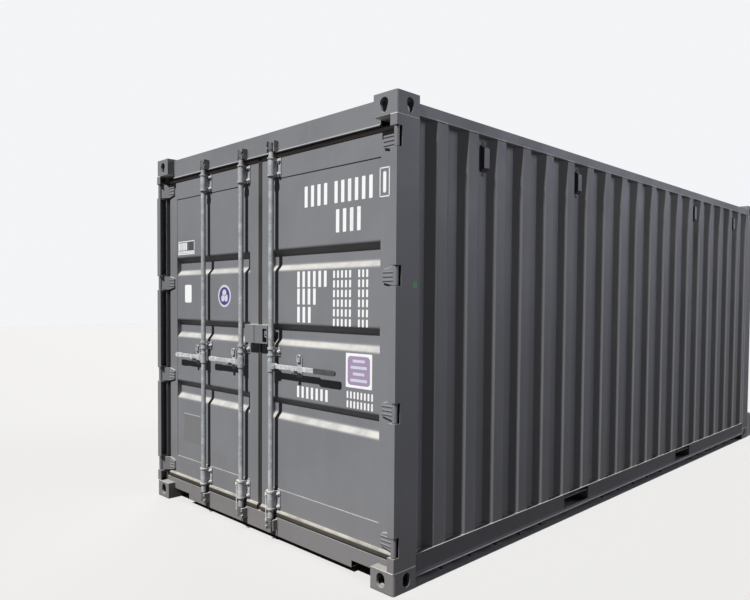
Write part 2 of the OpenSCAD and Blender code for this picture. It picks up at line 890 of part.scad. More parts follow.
// Keeper for a cam: a back plate, a cheek, a side plate whose lip stands in two prongs
// in front of the cam, and a tongue between the prongs of the cam.
module keeper() {
    face = frame_back - rod_back;
    side = cam_r + 2 * cam_gap;
    hook_y = cam_body_r + cam_gap;
    lip_t = keeper_reach - cam_r * tan(cam_lean);
    tongue_h = cam_h - 2 * prong_h - 2 * cam_gap;
    difference() {
        linear_extrude(keeper_h, center = true) {
            translate([-keeper_reach, side]) square([keeper_reach + face, keeper_t]);
            translate([-keeper_reach, hook_y]) square([lip_t, side + keeper_t - hook_y]);
            translate([-keeper_t, -side - keeper_t]) square([keeper_t + face, keeper_t]);
            translate([face - keeper_back, -side - keeper_t])
                square([keeper_back, 2 * side + 2 * keeper_t]);
        }
        translate([-keeper_reach - cut, hook_y - cut, -tongue_h])
            cube([lip_t + 2 * cut, side + keeper_t - hook_y + 2 * cut, 2 * tongue_h]);
    }
    translate([-keeper_t, hook_y, -tongue_h / 2])
        cube([2 * keeper_t, side + cut - hook_y, tongue_h]);
}

// The keepers, notched where they pass the drip lip of the header.
module cam_keepers() {
    color(zinc) difference() {
        for (z = keeper_zs) {
            translate([rod_x, -rod_right_y, z]) keeper();
            for (y = [rod_inner_y, rod_outer_y])
                translate([rod_x, y, z]) mirror([0, 1, 0]) keeper();
        }
        translate([x_frame - drip_d, -y_side, header_z - cut])
            cube([drip_d, width, drip_h + cut]);
    }
}

module hinge_pins() {
    reach = hinge_half + lug_t;
    color(zinc) for (z = hinge_zs, side = [-1, 1])
        translate([pin_x, side * pin_y, z - reach]) {
            cylinder(r = pin_r, h = 2 * reach + pin_head_h / 2);
            translate([0, 0, 2 * reach]) cylinder(r = pin_r + pin_head_w, h = pin_head_h);
        }
}

// Right leaf pieces, drawn at -Y and mirrored for the left leaf.
module stiles() {
    for (y = [-leaf_edge, -leaf_free - stile_w])
        upright(leaf_z, leaf_top) difference() {
            translate([x_leaf, y]) square([leaf_t, stile_w]);
            translate([x_leaf + leaf_wall, y + leaf_wall])
                square([leaf_t - 2 * leaf_wall, stile_w - 2 * leaf_wall]);
        }
}

// A piece pulled across the leaf between its upright members.
module between_stiles() {
    span = leaf_edge - leaf_free - 2 * stile_w;
    translate([0, -(leaf_edge + leaf_free) / 2, 0]) across(span) children();
}

module leaf_rails() {
    between_stiles() tube_outline(x_leaf, x_leaf_in, leaf_z, leaf_z + bottom_member, leaf_wall);
    between_stiles() tube_outline(x_leaf, x_leaf_in, leaf_top - top_member, leaf_top, leaf_wall);
}

module leaf_panel() {
    z1 = leaf_z + bottom_member;
    z2 = leaf_top - top_member;
    half = groove_flat / 2 + groove_slope;
    points = concat(
        [[x_leaf + panel_back, z1]],
        [for (i = [0:2], k = [0:3])
            [x_leaf + panel_back + (k == 1 || k == 2 ? groove_d : 0),
                groove_z + i * groove_pitch + [-half, -groove_flat / 2, groove_flat / 2, half][k]]],
        [[x_leaf + panel_back, z2]]
    );
    last = len(points) - 1;
    between_stiles()
        polygon(concat(points, [for (i = [0:last]) points[last - i] + [panel_t, 0]]));
}

// Rubber seal that frames the leaf, with a hollow bead outside the leaf edge.
module leaf_seal() {
    out_y = opening_y - seal_gap;
    in_y = leaf_free - seal_reach;
    low_z = sill_top + seal_gap;
    high_z = header_z - seal_gap;
    bead_y = (out_y + leaf_edge) / 2;
    bead_low = (low_z + leaf_z) / 2;
    bead_high = (high_z + leaf_top) / 2;
    translate([x_leaf + seal_back, 0, 0]) rotate([90, 0, 90]) linear_extrude(seal_t) difference() {
        translate([-out_y, low_z]) square([out_y - in_y, high_z - low_z]);
        translate([-leaf_edge, leaf_z]) square([leaf_edge - leaf_free, leaf_top - leaf_z]);
    }
    translate([x_leaf + seal_back + seal_t / 2, 0, 0]) {
        translate([0, -bead_y, bead_low]) cylinder(r = seal_bead, h = bead_high - bead_low);
        for (z = [bead_low, bead_high])
            translate([0, -bead_y, z]) {
                sphere(seal_bead);
                rotate([-90, 0, 0]) cylinder(r = seal_bead, h = bead_y - leaf_free);
            }
    }
}

// Hinge blade: knuckle on the pin, a slanted web and a tapered strap on the leaf face.
module hinge_blade() {
    dx = x_leaf - blade_t / 2 - pin_x;
    dy = pin_y - leaf_edge;
    lean = atan2(dy, dx);
    reach = norm([dx, dy]);
    intersection() {
        difference() {
            union() {
                linear_extrude(blade_h, center = true) {
                    circle(knuckle_r);
                    rotate(lean) translate([0, -blade_t / 2]) square([reach, blade_t]);
                    translate([dx, dy]) circle(blade_t / 2);
                    translate([dx - blade_t / 2, dy]) square([blade_t, blade_reach]);
                }
                for (i = [-1:1])
                    translate([dx - blade_t / 2 - rib_d, dy, i * rib_pitch - rib_h / 2])
                        cube([rib_d + cut, blade_reach, rib_h]);
            }
            cylinder(r = pin_r + pin_clear, h = blade_h + 2 * cut, center = true);
        }
        rotate([90, 0, 90]) linear_extrude(4 * reach, center = true) polygon([
            [-knuckle_r, -blade_h / 2], [dy, -blade_h / 2], [dy + blade_reach, -blade_tip_h / 2],
            [dy + blade_reach, blade_tip_h / 2], [dy, blade_h / 2], [-knuckle_r, blade_h / 2]
        ]);
    }
}

module leaf_hinges() {
    for (z = hinge_zs)
        translate([pin_x, -pin_y, z]) hinge_blade();
}

// Bearing for a rod: a plate on the leaf with sleeves round the rod.
// Each band runs from one height to another and is as thick as the wall given.
module rod_bearing(w, h, seat, bands) {
    plate_x = rod_face + seat - bearing_t;
    translate([plate_x, -w / 2, -h / 2]) cube([bearing_t, w, h]);
    difference() {
        for (band = bands)
            translate([0, 0, band[0]]) {
                cylinder(r = rod_r + band[2], h = band[1] - band[0]);
                translate([0, -rod_r, 0]) cube([plate_x, 2 * rod_r, band[1] - band[0]]);
            }
        translate([0, 0, -h]) cylinder(r = rod_r + rod_clear, h = 2 * h);
    }
}

// Long bearing: one sleeve with flared ends.
module long_bearing() {
    half = bearing_h / 2;
    rod_bearing(bearing_w, bearing_h, 0, [
        [-half, half, sleeve_t],
        [-half, flare_h - half, sleeve_t + flare_d],
        [half - flare_h, half, sleeve_t + flare_d]
    ]);
}

// All the bearings of one rod. The middle one is two narrow bands on a plate.
module rod_bearings() {
    half = mid_bearing_h / 2;
    translate([0, 0, leaf_top - bearing_drop]) long_bearing();
    translate([0, 0, leaf_z + bearing_rise]) long_bearing();
    translate([0, 0, handle_z + mid_bearing_rise])
        rod_bearing(mid_bearing_w, mid_bearing_h, panel_back, [
            [-half, mid_band_h - half, sleeve_t],
            [half - mid_band_h, half, sleeve_t]
        ]);
}

// Catch for a handle: a plate on the leaf, a hook that the bar rests in and an eye.
module handle_catch() {
    plate_x = rod_face + panel_back - catch_t;
    hook_in = handle_t / 2 + hook_gap;
    shelf_z = -grip_h / 2 - shelf_gap;
    translate([plate_x, -catch_w / 2, -catch_low])
        cube([catch_t, catch_w, catch_low + catch_high - eye_r]);
    translate([0, hook_w / 2, shelf_z]) rotate([90, 0, 0]) linear_extrude(hook_w) {
        difference() {
            union() {
                circle(hook_in + catch_t);
                translate([0, -hook_in - catch_t]) square([plate_x, catch_t]);
            }
            circle(hook_in);
            translate([-plate_x, 0]) square([2 * plate_x, plate_x]);
        }
        translate([-hook_in - catch_t, 0]) square([catch_t, handle_h / 3]);
    }
    translate([plate_x - 2 * catch_t, 0, catch_high - eye_r]) rotate([90, 0, 90]) difference() {
        linear_extrude(2 * catch_t) {
            circle(eye_r);
            translate([-eye_r, -2 * eye_r]) square([2 * eye_r, 2 * eye_r]);
        }
        translate([0, 0, -cut]) cylinder(r = eye_hole, h = 2 * catch_t + 2 * cut);
    }
}

module right_lock_fittings() {
    color(zinc) {
        translate([rod_x, -rod_right_y, 0]) rod_bearings();
        translate([rod_x, -rod_right_y - catch_long, handle_z]) handle_catch();
    }
}

module left_lock_fittings() {
    color(zinc) for (y = [rod_inner_y, rod_outer_y]) {
        translate([rod_x, y, 0]) rod_bearings();
        translate([rod_x, y + catch_short, handle_z]) handle_catch();
    }
}

// Half of the lock box: front, top and outer side plates, open below and behind.
module lock_box(reach) {
    difference() {
        translate([x_leaf - box_d, box_gap / 2, box_z])
            cube([box_d, reach - box_gap / 2, box_h]);
        translate([x_leaf - box_d + box_t, -cut, box_z - cut])
            cube([box_d, reach - box_t + cut, box_h - box_t + cut]);
    }
}

// Plate with an eye for a padlock, which hangs from the top plate behind the slot.
module lock_eye() {
    eye_z = box_z + slot_rim + slot_h / 2;
    translate([x_leaf - box_d + 2 * box_t, box_right - slot_rim - slot_w / 2, eye_z])
        rotate([90, 0, 90]) difference() {
            linear_extrude(box_t) {
                circle(eye_r);
                translate([-eye_r, 0]) square([2 * eye_r, box_z + box_h - box_t - eye_z]);
            }
            translate([0, 0, -cut]) cylinder(r = eye_hole, h = box_t + 2 * cut);
        }
}

module right_lock_box() {
    color(paint) mirror([0, 1, 0]) {
        difference() {
            lock_box(box_right);
            translate([x_leaf - box_d - cut, box_right - slot_rim - slot_w, box_z + slot_rim])
                cube([box_t + 2 * cut, slot_w, slot_h]);
        }
        lock_eye();
    }
}

module left_lock_box() {
    color(paint) lock_box(box_left);
}

// Cam at a rod end: a round body with two prongs towards +Y.
module cam() {
    spread = cam_r * tan(cam_lean);
    linear_extrude(cam_h, center = true) circle(cam_body_r);
    for (up = [-1, 1])
        translate([0, 0, up * (cam_h - prong_h) / 2])
            linear_extrude(prong_h, center = true) intersection() {
                circle(cam_r);
                polygon([[0, 0], [-spread, cam_r], [0, 2 * cam_r], [spread, cam_r]]);
            }
}

// Rod with its cams and the hub that carries the handle, drawn for the right leaf.
module lock_rod() {
    low = keeper_zs[0];
    high = keeper_zs[1];
    cheek_x = handle_t / 2 + cheek_gap;
    pin_half = cheek_x + cheek_t + pivot_end;
    translate([0, 0, low]) cylinder(r = rod_r, h = high - low);
    for (z = keeper_zs)
        translate([0, 0, z]) cam();
    translate([0, 0, handle_z]) {
        difference() {
            union() {
                cylinder(r = rod_r + hub_t, h = hub_h, center = true);
                for (x = [-cheek_x - cheek_t, cheek_x])
                    translate([x, 0, 0]) rotate([90, 0, 90]) linear_extrude(cheek_t) {
                        translate([-pivot_y, -cheek_r]) square([pivot_y, 2 * cheek_r]);
                        translate([-pivot_y, 0]) circle(cheek_r);
                    }
            }
            translate([-cheek_x, -2 * pivot_y, -hub_h])
                cube([2 * cheek_x, 2 * pivot_y - rod_r - cheek_gap, 2 * hub_h]);
        }
        translate([-pin_half, -pivot_y, 0]) rotate([0, 90, 0])
            cylinder(r = pivot_r, h = 2 * pin_half);
    }
}

// Handle: a flat bar that swings up on the pin in the hub, with its grip set out.
module handle(reach, grip_l, set_out) {
    tongue_r = pivot_y - rod_r - 4 * cheek_gap;
    bend_y = grip_l - reach;
    side = handle_t / 2;
    translate([0, 0, handle_z]) difference() {
        intersection() {
            upright(-grip_h, grip_h) polygon([
                [side, tongue_r - pivot_y], [side, bend_y], [side - set_out, bend_y - 2 * set_out],
                [side - set_out, -reach], [-side - set_out, -reach],
                [-side - set_out, bend_y - 2 * set_out], [-side, bend_y], [-side, tongue_r - pivot_y]
            ]);
            rotate([90, 0, 90]) linear_extrude(grip_h * 2, center = true) {
                translate([-pivot_y, 0]) circle(tongue_r);
                translate([bend_y, -handle_h / 2]) square([-pivot_y - bend_y, handle_h]);
                translate([grip_h / 2 - reach, -grip_h / 2]) square([grip_l - grip_h / 2, grip_h]);
                translate([grip_h / 2 - reach, 0]) circle(grip_h / 2);
            }
        }
        translate([-grip_h, -pivot_y, 0]) rotate([0, 90, 0])
            cylinder(r = pivot_r + pin_clear, h = 2 * grip_h);
    }
}

// Tube swept along a route of points with eight sides to a ring.
function unit(v) = v / norm(v);
function heading(route, i) =
    unit(route[min(i + 1, len(route) - 1)] - route[max(i - 1, 0)]);
function ring(route, i, r) =
    let (t = heading(route, i), a = unit(cross(t, [0.3, 0.2, 1])), b = cross(t, a))
    [for (k = [0:7]) route[i] + r * (a * cos(45 * k) + b * sin(45 * k))];

module tube(route, r) {
    last = len(route) - 1;
    polyhedron(
        [for (i = [0:last], point = ring(route, i, r)) point],
        concat(
            [[for (k = [0:7]) k]],
            [for (i = [0:last - 1], k = [0:7])
                [8 * i + k, 8 * i + 8 + k, 8 * i + 8 + (k + 1) % 8, 8 * i + (k + 1) % 8]],
            [[for (k = [0:7]) 8 * last + 7 - k]]
        )
    );
}

module hold_back_rope_right() {
    color(cord_white) translate([rod_x, -rod_right_y, low_bearing_top])
        tube(rope_route, rope_d / 2);
}

module hold_back_rope_left() {
    color(cord_white) translate([rod_x, rod_inner_y, low_bearing_top])
        tube(rope_route, rope_d / 2);
}

module lock_rod_right() {
    color(zinc) translate([rod_x, -rod_right_y, 0]) lock_rod();
}

module lock_rod_left_inner() {
    color(zinc) translate([rod_x, rod_inner_y, 0]) mirror([0, 1, 0]) lock_rod();
}

module lock_rod_left_outer() {
    color(zinc) translate([rod_x, rod_outer_y, 0]) mirror([0, 1, 0]) lock_rod();
}

module handle_right() {
    color(zinc) translate([rod_x, -rod_right_y, 0]) handle(handle_long, grip_long, grip_out);
}

module handle_left_inner() {
    color(zinc) translate([rod_x, rod_inner_y, 0]) mirror([0, 1, 0]) handle(handle_short, grip_short, 0);
}

module handle_left_outer() {
    color(zinc) translate([rod_x, rod_outer_y, 0]) mirror([0, 1, 0]) handle(handle_short, grip_short, 0);
}

module right_door_stiles() {
    color(paint) stiles();
}

module left_door_stiles() {
    color(paint) mirror([0, 1, 0]) stiles();
}

module right_door_rails() {
    color(paint) leaf_rails();
}

module left_door_rails() {
    color(paint) mirror([0, 1, 0]) leaf_rails();
}

module right_door_panel() {
    color(paint) leaf_panel();
}

module left_door_panel() {
    color(paint) mirror([0, 1, 0]) leaf_panel();
}

module right_door_seal() {
    color(rubber) leaf_seal();
}

module left_door_seal() {
    color(rubber) mirror([0, 1, 0]) leaf_seal();
}

module right_door_hinges() {
    color(paint) leaf_hinges();
}

module left_door_hinges() {
    color(paint) mirror([0, 1, 0]) leaf_hinges();
}

top_fittings_door_end();
top_fittings_closed_end();
bottom_fittings_door_end();
bottom_fittings_closed_end();
rear_post_right();
rear_post_left();
front_post_right();
front_post_left();
door_header();
door_sill();
threshold();
front_top_rail();
front_bottom_rail();
top_side_rail_right();
top_side_rail_left();
bottom_side_rail_right();
bottom_side_rail_left();
side_wall_right();
side_wall_left();
front_wall();
roof();
floor_boards();  // floor
cross_members();
fork_pocket_sides();
fork_pocket_tops();
fork_pocket_straps();
fork_mouth_bars();
vents();
cam_keepers();
hinge_pins();
right_door_stiles();
right_door_rails();
right_door_panel();
right_door_seal();
right_door_hinges();
right_lock_fittings();
right_lock_box();
left_door_stiles();
left_door_rails();
left_door_panel();
left_door_seal();
left_door_hinges();
left_lock_fittings();
left_lock_box();
lock_rod_right();
lock_rod_left_inner();
lock_rod_left_outer();
handle_right();
handle_left_inner();
handle_left_outer();
hold_back_rope_right();
hold_back_rope_left();
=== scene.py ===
import bmesh
import bpy
import math
import numpy as np
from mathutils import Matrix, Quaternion, Vector


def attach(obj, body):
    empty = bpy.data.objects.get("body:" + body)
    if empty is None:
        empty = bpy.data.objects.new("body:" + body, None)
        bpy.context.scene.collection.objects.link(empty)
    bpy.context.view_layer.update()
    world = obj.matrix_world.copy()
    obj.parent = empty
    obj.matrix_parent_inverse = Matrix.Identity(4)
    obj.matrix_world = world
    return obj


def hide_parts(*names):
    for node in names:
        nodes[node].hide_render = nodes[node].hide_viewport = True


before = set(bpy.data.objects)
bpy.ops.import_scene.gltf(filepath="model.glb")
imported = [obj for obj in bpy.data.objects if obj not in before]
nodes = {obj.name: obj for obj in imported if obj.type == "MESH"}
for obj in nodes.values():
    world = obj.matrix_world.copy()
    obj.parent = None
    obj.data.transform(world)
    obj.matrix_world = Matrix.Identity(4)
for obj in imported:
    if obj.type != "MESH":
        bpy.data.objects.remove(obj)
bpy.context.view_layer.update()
draws = np.random.default_rng(21)
print("frame loaded,", len(nodes), "nodes")


# Meshes from arrays

def unit(v):
    return v / np.linalg.norm(v, axis=-1, keepdims=True)


def newObject(name, data):
    made = bpy.data.objects.new(name, data)
    bpy.context.scene.collection.objects.link(made)
    return made


def addPiece(name, points, faces, material, body, slot, smooth=True):
    # closed shells from points and faces, with their normals turned outwards
    mesh = bpy.data.meshes.new(name)
    mesh.from_pydata(np.asarray(points).reshape(-1, 3).tolist(), [], faces)
    shell = bmesh.new()
    shell.from_mesh(mesh)
    bmesh.ops.recalc_face_normals(shell, faces=shell.faces)
    shell.to_mesh(mesh)
    shell.free()
    mesh.polygons.foreach_set("use_smooth", np.full(len(mesh.polygons), smooth))
    mesh.materials.append(material)
    piece = newObject(name, mesh)
    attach(piece, body)
    return piece


def addSharp(*parts):
    # a smooth piece whose bends of more than 35 degrees stay sharp
    piece = addPiece(*parts)
    piece.data.set_sharp_from_angle(angle=math.radians(35))
    return piece


def tubeFaces(rings, around):
    # quads between neighbouring rings of points, and one cap at each end
    i, j = np.meshgrid(np.arange(rings - 1), np.arange(around), indexing="ij")
    k = (j + 1) % around
    quads = np.stack([i * around + j, i * around + k, (i + 1) * around + k, (i + 1) * around + j], -1)
    caps = [list(range(around))[::-1], list(range((rings - 1) * around, rings * around))]
    return quads.reshape(-1, 4).tolist() + caps


def drawOut(outline, run, sign, isUpright=False):
    # an outline of x and z drawn out along y on one side, or an outline of x and y drawn out along z
    x, other = np.asarray(outline).T
    rings = []
    for at in run:
        y, z = (sign * other, np.full_like(x, at)) if isUpright else (np.full_like(x, sign * at), other)
        rings.append(np.stack([x, y, z], -1))
    return np.array(rings), tubeFaces(len(run), len(outline))


def manyFaces(one, size, count):
    # the faces of one shell repeated for a number of copies that hold so many points each
    return [[p + size * c for p in face] for c in range(count) for face in one]


def joinShells(shells):
    # one list of points and one of faces from several (points, faces) pairs
    points, faces, start = [], [], 0
    for shellPoints, shellFaces in shells:
        flat = np.asarray(shellPoints).reshape(-1, 3)
        points.append(flat)
        faces += [[p + start for p in face] for face in shellFaces]
        start += len(flat)
    return np.concatenate(points), faces


def runAlong(path):
    # the distance from the start at each point of a line
    return np.concatenate([[0], np.cumsum(np.linalg.norm(np.diff(path, axis=0), axis=1))])


def carriedSides(path):
    # two sides at each point, which turn as little as the path lets them
    tangent = unit(np.gradient(path, axis=0))
    side = np.empty_like(tangent)
    side[0] = unit(np.cross(tangent[0], (0.31, 0.52, 0.79)))
    for i in range(1, len(path)):
        side[i] = unit(side[i - 1] - tangent[i] * side[i - 1].dot(tangent[i]))
    return side, np.cross(tangent, side)


def sweep(path, angle, radius):
    # a tube with a radius for each point of the path and each angle round it
    side, up = carriedSides(path)
    ring = side[:, None, :] * np.cos(angle)[:, None] + up[:, None, :] * np.sin(angle)[:, None]
    return path[:, None, :] + ring * radius[..., None], tubeFaces(len(path), len(angle))


def evenPath(points, step):
    # the same line with a point every step
    points = np.asarray(points, float)
    run = runAlong(points)
    at = np.linspace(0, run[-1], max(3, int(round(run[-1] / step)) + 1))
    return np.stack([np.interp(at, run, points[:, c]) for c in range(3)], -1)


def smoothPath(points, step):
    # Catmull-Rom curve through the points, 14 to a span, then made even
    p = np.asarray(points, float)
    p = np.concatenate([[2 * p[0] - p[1]], p, [2 * p[-1] - p[-2]]])
    t = np.linspace(0, 1, 14, endpoint=False)[None, :, None]
    a, b, c, d = (p[i:len(p) - 3 + i, None, :] for i in range(4))
    curve = 0.5 * (2 * b + (c - a) * t + (2 * a - 5 * b + 4 * c - d) * t**2 + (3 * b - 3 * c + d - a) * t**3)
    return evenPath(np.concatenate([curve.reshape(-1, 3), p[-2:-1]]), step)


# Camera

camera = {
    "at": (-5.569, -3.426, 1.527),
    "forward": (0.677, 0.735, -0.034),
    "roll": 0.26,
    "lens": 31.70,
    "sensor": 36.0,
    "shift": (0.0708, 0.0304),
}


def makeCamera(look):
    data = bpy.data.cameras.new("camera")
    data.lens = look["lens"]
    data.sensor_width = look["sensor"]
    data.shift_x, data.shift_y = look["shift"]
    data.clip_end = 200
    seen = newObject("camera", data)
    seen.location = look["at"]
    seen.rotation_mode = "QUATERNION"
    turn = Vector(look["forward"]).to_track_quat("-Z", "Y")
    seen.rotation_quaternion = turn @ Quaternion((0, 0, 1), math.radians(look["roll"]))
    bpy.context.scene.camera = seen


makeCamera(camera)
print("camera set")


# Shader nodes

# scale in features per metre, detail, roughness, distortion
patterns = {
    "dustPatches": (9.0, 4.0, 0.6), "dustGrains": (160.0, 2.0, 0.55), "spray": (5.0, 5.0, 0.65),
    "streaks": ((34.0, 34.0, 1.1), 4.0, 0.6), "streakPatches": ((5.0, 5.0, 0.5), 2.0, 0.55), "tone": (1.6, 5.0, 0.6),
    "chips": (60.0, 2.0, 0.5), "chipPatches": (2.3, 2.0, 0.55), "dents": (3.2, 2.0, 0.4), "paint": (420.0, 2.0, 0.55),
    "bloom": (17.0, 6.0, 0.65), "rust": (38.0, 5.0, 0.7), "rustPatches": (4.0, 2.0, 0.55), "zinc": (240.0, 3.0, 0.55),
    "rubber": (300.0, 2.0, 0.55), "flecks": (70.0, 5.0, 0.7), "film": (350.0, 2.0, 0.55),
    "plyGrain": ((2.0, 60.0, 60.0), 5.0, 0.6, 0.6), "plyOil": (2.2, 4.0, 0.55),
    "ropeDirt": (30.0, 4.0, 0.65), "fibre": ((900.0, 900.0, 260.0), 2.0, 0.55),
}
# heights of the fine relief in metres
fineRelief = {"paint": 0.00003, "film": 0.00003, "zinc": 0.00006, "rubber": 0.00008, "ply": 0.0004, "rope": 0.0002}


def feed(socket, value):
    # a link from another socket, or a plain value
    if isinstance(value, bpy.types.NodeSocket):
        socket.id_data.links.new(value, socket)
    else:
        socket.default_value = value


def addNode(tree, kind, inputs=None, **settings):
    node = tree.nodes.new("ShaderNode" + kind)
    for key, value in settings.items():
        setattr(node, key, value)
    for key, value in (inputs or {}).items():
        feed(node.inputs[key], value)
    return node


def calc(operation, first, second=0.0):
    # one or both of the values are sockets
    tree = (first if isinstance(first, bpy.types.NodeSocket) else second).id_data
    return addNode(tree, "Math", {0: first, 1: second}, operation=operation).outputs[0]


def times(first, second):
    return calc("MULTIPLY", first, second)


def plus(first, second):
    return calc("ADD", first, second)


def vectorCalc(operation, first, second):
    # the result is a vector, or a value for a dot product or a distance
    outputs = addNode(first.id_data, "VectorMath", {0: first, 1: second}, operation=operation).outputs
    return outputs["Value" if operation in ("DOT_PRODUCT", "DISTANCE") else "Vector"]


def objectPlace(tree):
    return addNode(tree, "TexCoord").outputs["Object"]


def axisOf(vector, axis):
    # x, y or z of a vector, by its number
    return addNode(vector.id_data, "SeparateXYZ", {0: vector}).outputs[axis]


def ramp(value, low, high, start=0.0, end=1.0):
    # smooth step from start to end while the value goes from low to high
    inputs = {"Value": value, "From Min": low, "From Max": high, "To Min": start, "To Max": end}
    return addNode(value.id_data, "MapRange", inputs, interpolation_type="SMOOTHSTEP").outputs[0]


def noise(where, name):
    # one of the patterns; one with three scales is drawn out along the axes
    scale, *rest = patterns[name]
    if isinstance(scale, tuple):
        where, scale = vectorCalc("MULTIPLY", where, scale), 1.0
    inputs = {"Vector": where, "Scale": scale, **dict(zip(("Detail", "Roughness", "Distortion"), rest))}
    return addNode(where.id_data, "TexNoise", inputs).outputs[0]


def blend(factor, base, top):
    return addNode(factor.id_data, "Mix", {0: factor, 6: base, 7: top}, data_type="RGBA").outputs[2]


def newGroup(name, inputs, outputs):
    # a node group whose inputs start at the values given
    tree = bpy.data.node_groups.new(name, "ShaderNodeTree")
    for label, value in inputs.items():
        tree.interface.new_socket(label, in_out="INPUT", socket_type="NodeSocketFloat").default_value = value
    for label, kind in outputs.items():
        tree.interface.new_socket(label, in_out="OUTPUT", socket_type="NodeSocket" + kind)
    return tree, tree.nodes.new("NodeGroupInput").outputs, tree.nodes.new("NodeGroupOutput").inputs


def place(tree, group, values):
    node = tree.nodes.new("ShaderNodeGroup")
    node.node_tree = group
    for label, value in values.items():
        feed(node.inputs[label], value)
    return node.outputs


def makeWeather():
    # dust on what faces up, dirt near the ground, rain streaks and a slow change of tone
    inputs = dict.fromkeys(("Dust", "Foot Dirt", "Foot Height", "Streaks"), 0.5)
    outputs = dict.fromkeys(("Tone", "Dust", "Dirt", "Streak"), "Float")
    tree, given, out = newGroup("weather", inputs, outputs)
    coord = addNode(tree, "TexCoord").outputs
    where = coord["Object"]
    lying = ramp(axisOf(coord["Normal"], 2), 0.25, 0.75)
    patches = times(noise(where, "dustPatches"), 0.7)
    grains = times(noise(where, "dustGrains"), 0.3)
    uneven = ramp(plus(patches, grains), 0.3, 0.62)
    covered = times(lying, plus(times(uneven, 0.5), 0.5))
    feed(out["Dust"], times(covered, given["Dust"]))
    foot = calc("DIVIDE", axisOf(where, 2), given["Foot Height"])
    spray = times(noise(where, "spray"), 1.6)
    splash = ramp(calc("SUBTRACT", spray, foot), -0.25, 0.9)
    feed(out["Dirt"], times(splash, given["Foot Dirt"]))
    runs = noise(where, "streaks")
    wide = noise(where, "streakPatches")
    streaks = times(ramp(runs, 0.52, 0.72), ramp(wide, 0.4, 0.6, 0.25, 1.0))
    feed(out["Streak"], times(streaks, given["Streaks"]))
    feed(out["Tone"], noise(where, "tone"))
    return tree


def makeChips():
    # small chips in patches
    tree, given, out = newGroup("chips", {"Amount": 0.5}, {"Chip": "Float"})
    where = objectPlace(tree)
    spots = ramp(noise(where, "chips"), 0.68, 0.73)
    region = ramp(noise(where, "chipPatches"), 0.5, 0.62)
    feed(out["Chip"], times(times(spots, region), given["Amount"]))
    return tree


def makeEdges():
    # rounded edges, a mask along them for rubbed wear and painted highlight, and a mask in inner corners for painted
    # shade
    outputs = {"Normal": "Vector", "Edge": "Float", "Corner": "Float"}
    tree, given, out = newGroup("edges", {"Radius": 0.002, "Reach": 0.03}, outputs)
    bevel = addNode(tree, "Bevel", {"Radius": given["Radius"]}, samples=6).outputs[0]
    flat = addNode(tree, "NewGeometry").outputs["Normal"]
    same = vectorCalc("DOT_PRODUCT", bevel, flat)
    feed(out["Normal"], bevel)
    free = addNode(tree, "AmbientOcclusion", {"Distance": given["Reach"]}, samples=6).outputs["AO"]
    feed(out["Edge"], times(ramp(same, 0.999, 0.93), ramp(free, 0.55, 0.9)))
    # painted shade: the less open a point is within the reach, the more of the dark corner colour it gets
    feed(out["Corner"], ramp(free, 0.75, 0.25))
    return tree


def makeRelief():
    # height in metres: slow dents in the sheet and the fine grain of sprayed paint
    tree, given, out = newGroup("relief", {"Dents": 0.0015, "Grain": fineRelief["paint"]}, {"Height": "Float"})
    where = objectPlace(tree)
    dents = times(noise(where, "dents"), given["Dents"])
    grain = times(noise(where, "paint"), given["Grain"])
    feed(out["Height"], plus(dents, grain))
    return tree


def makeZinc():
    # crystal shades of a zinc coat, white bloom on it and rust in spots
    outputs = {"Shade": "Float", "Bloom": "Float", "Rust": "Float"}
    tree, given, out = newGroup("zinc coat", {"Crystals": 130.0, "Bloom": 0.5, "Rust": 0.3}, outputs)
    where = objectPlace(tree)
    cell = addNode(tree, "TexVoronoi", {"Vector": where, "Scale": given["Crystals"]}, feature="F1").outputs["Color"]
    feed(out["Shade"], addNode(tree, "SeparateColor", {0: cell}).outputs[0])
    feed(out["Bloom"], times(ramp(noise(where, "bloom"), 0.42, 0.7), given["Bloom"]))
    spots = times(noise(where, "rust"), noise(where, "rustPatches"))
    feed(out["Rust"], times(ramp(spots, 0.32, 0.42), given["Rust"]))
    return tree


weather, chips, edges, relief, zincCoat = makeWeather(), makeChips(), makeEdges(), makeRelief(), makeZinc()


def newMaterial(name, specular, **constants):
    # a Principled material, with what is the same all over set on the shader's own sockets
    material = bpy.data.materials.new(name)
    material.use_nodes = True
    shader = material.node_tree.nodes["Principled BSDF"]
    for label, value in {"Specular IOR Level": specular, **constants}.items():
        shader.inputs[label].default_value = value
    return material, material.node_tree, shader.inputs


def bumped(height, **normal):
    # the height is in metres
    inputs = {"Height": height, "Distance": 1.0, "Strength": 1.0, **normal}
    return addNode(height.id_data, "Bump", inputs).outputs[0]


# dust, soil and chips are real grime; the corner colour is painted shade, and the rubbed colour is rubbed wear with
# painted highlight
grimeAndShading = {
    "dust": (0.52, 0.50, 0.45, 1), "soil": (0.15, 0.115, 0.085, 1), "corner": (0.035, 0.032, 0.03, 1),
    "chip": (0.10, 0.06, 0.045, 1), "rubbedAndHighlight": (0.40, 0.40, 0.41, 1),
}
lineBlur = 0.0007  # half of the soft edge of a painted line


def levelMask(tree, low, high):
    # 1 between two heights of the object
    height = axisOf(objectPlace(tree), 2)
    above = ramp(height, low - lineBlur, low + lineBlur)
    return times(above, ramp(height, high + lineBlur, high - lineBlur))


def ballMask(tree, middle, radius):
    # 1 nearer to the middle than the radius
    far = vectorCalc("DISTANCE", objectPlace(tree), middle)
    return ramp(far, radius + lineBlur, radius - lineBlur)


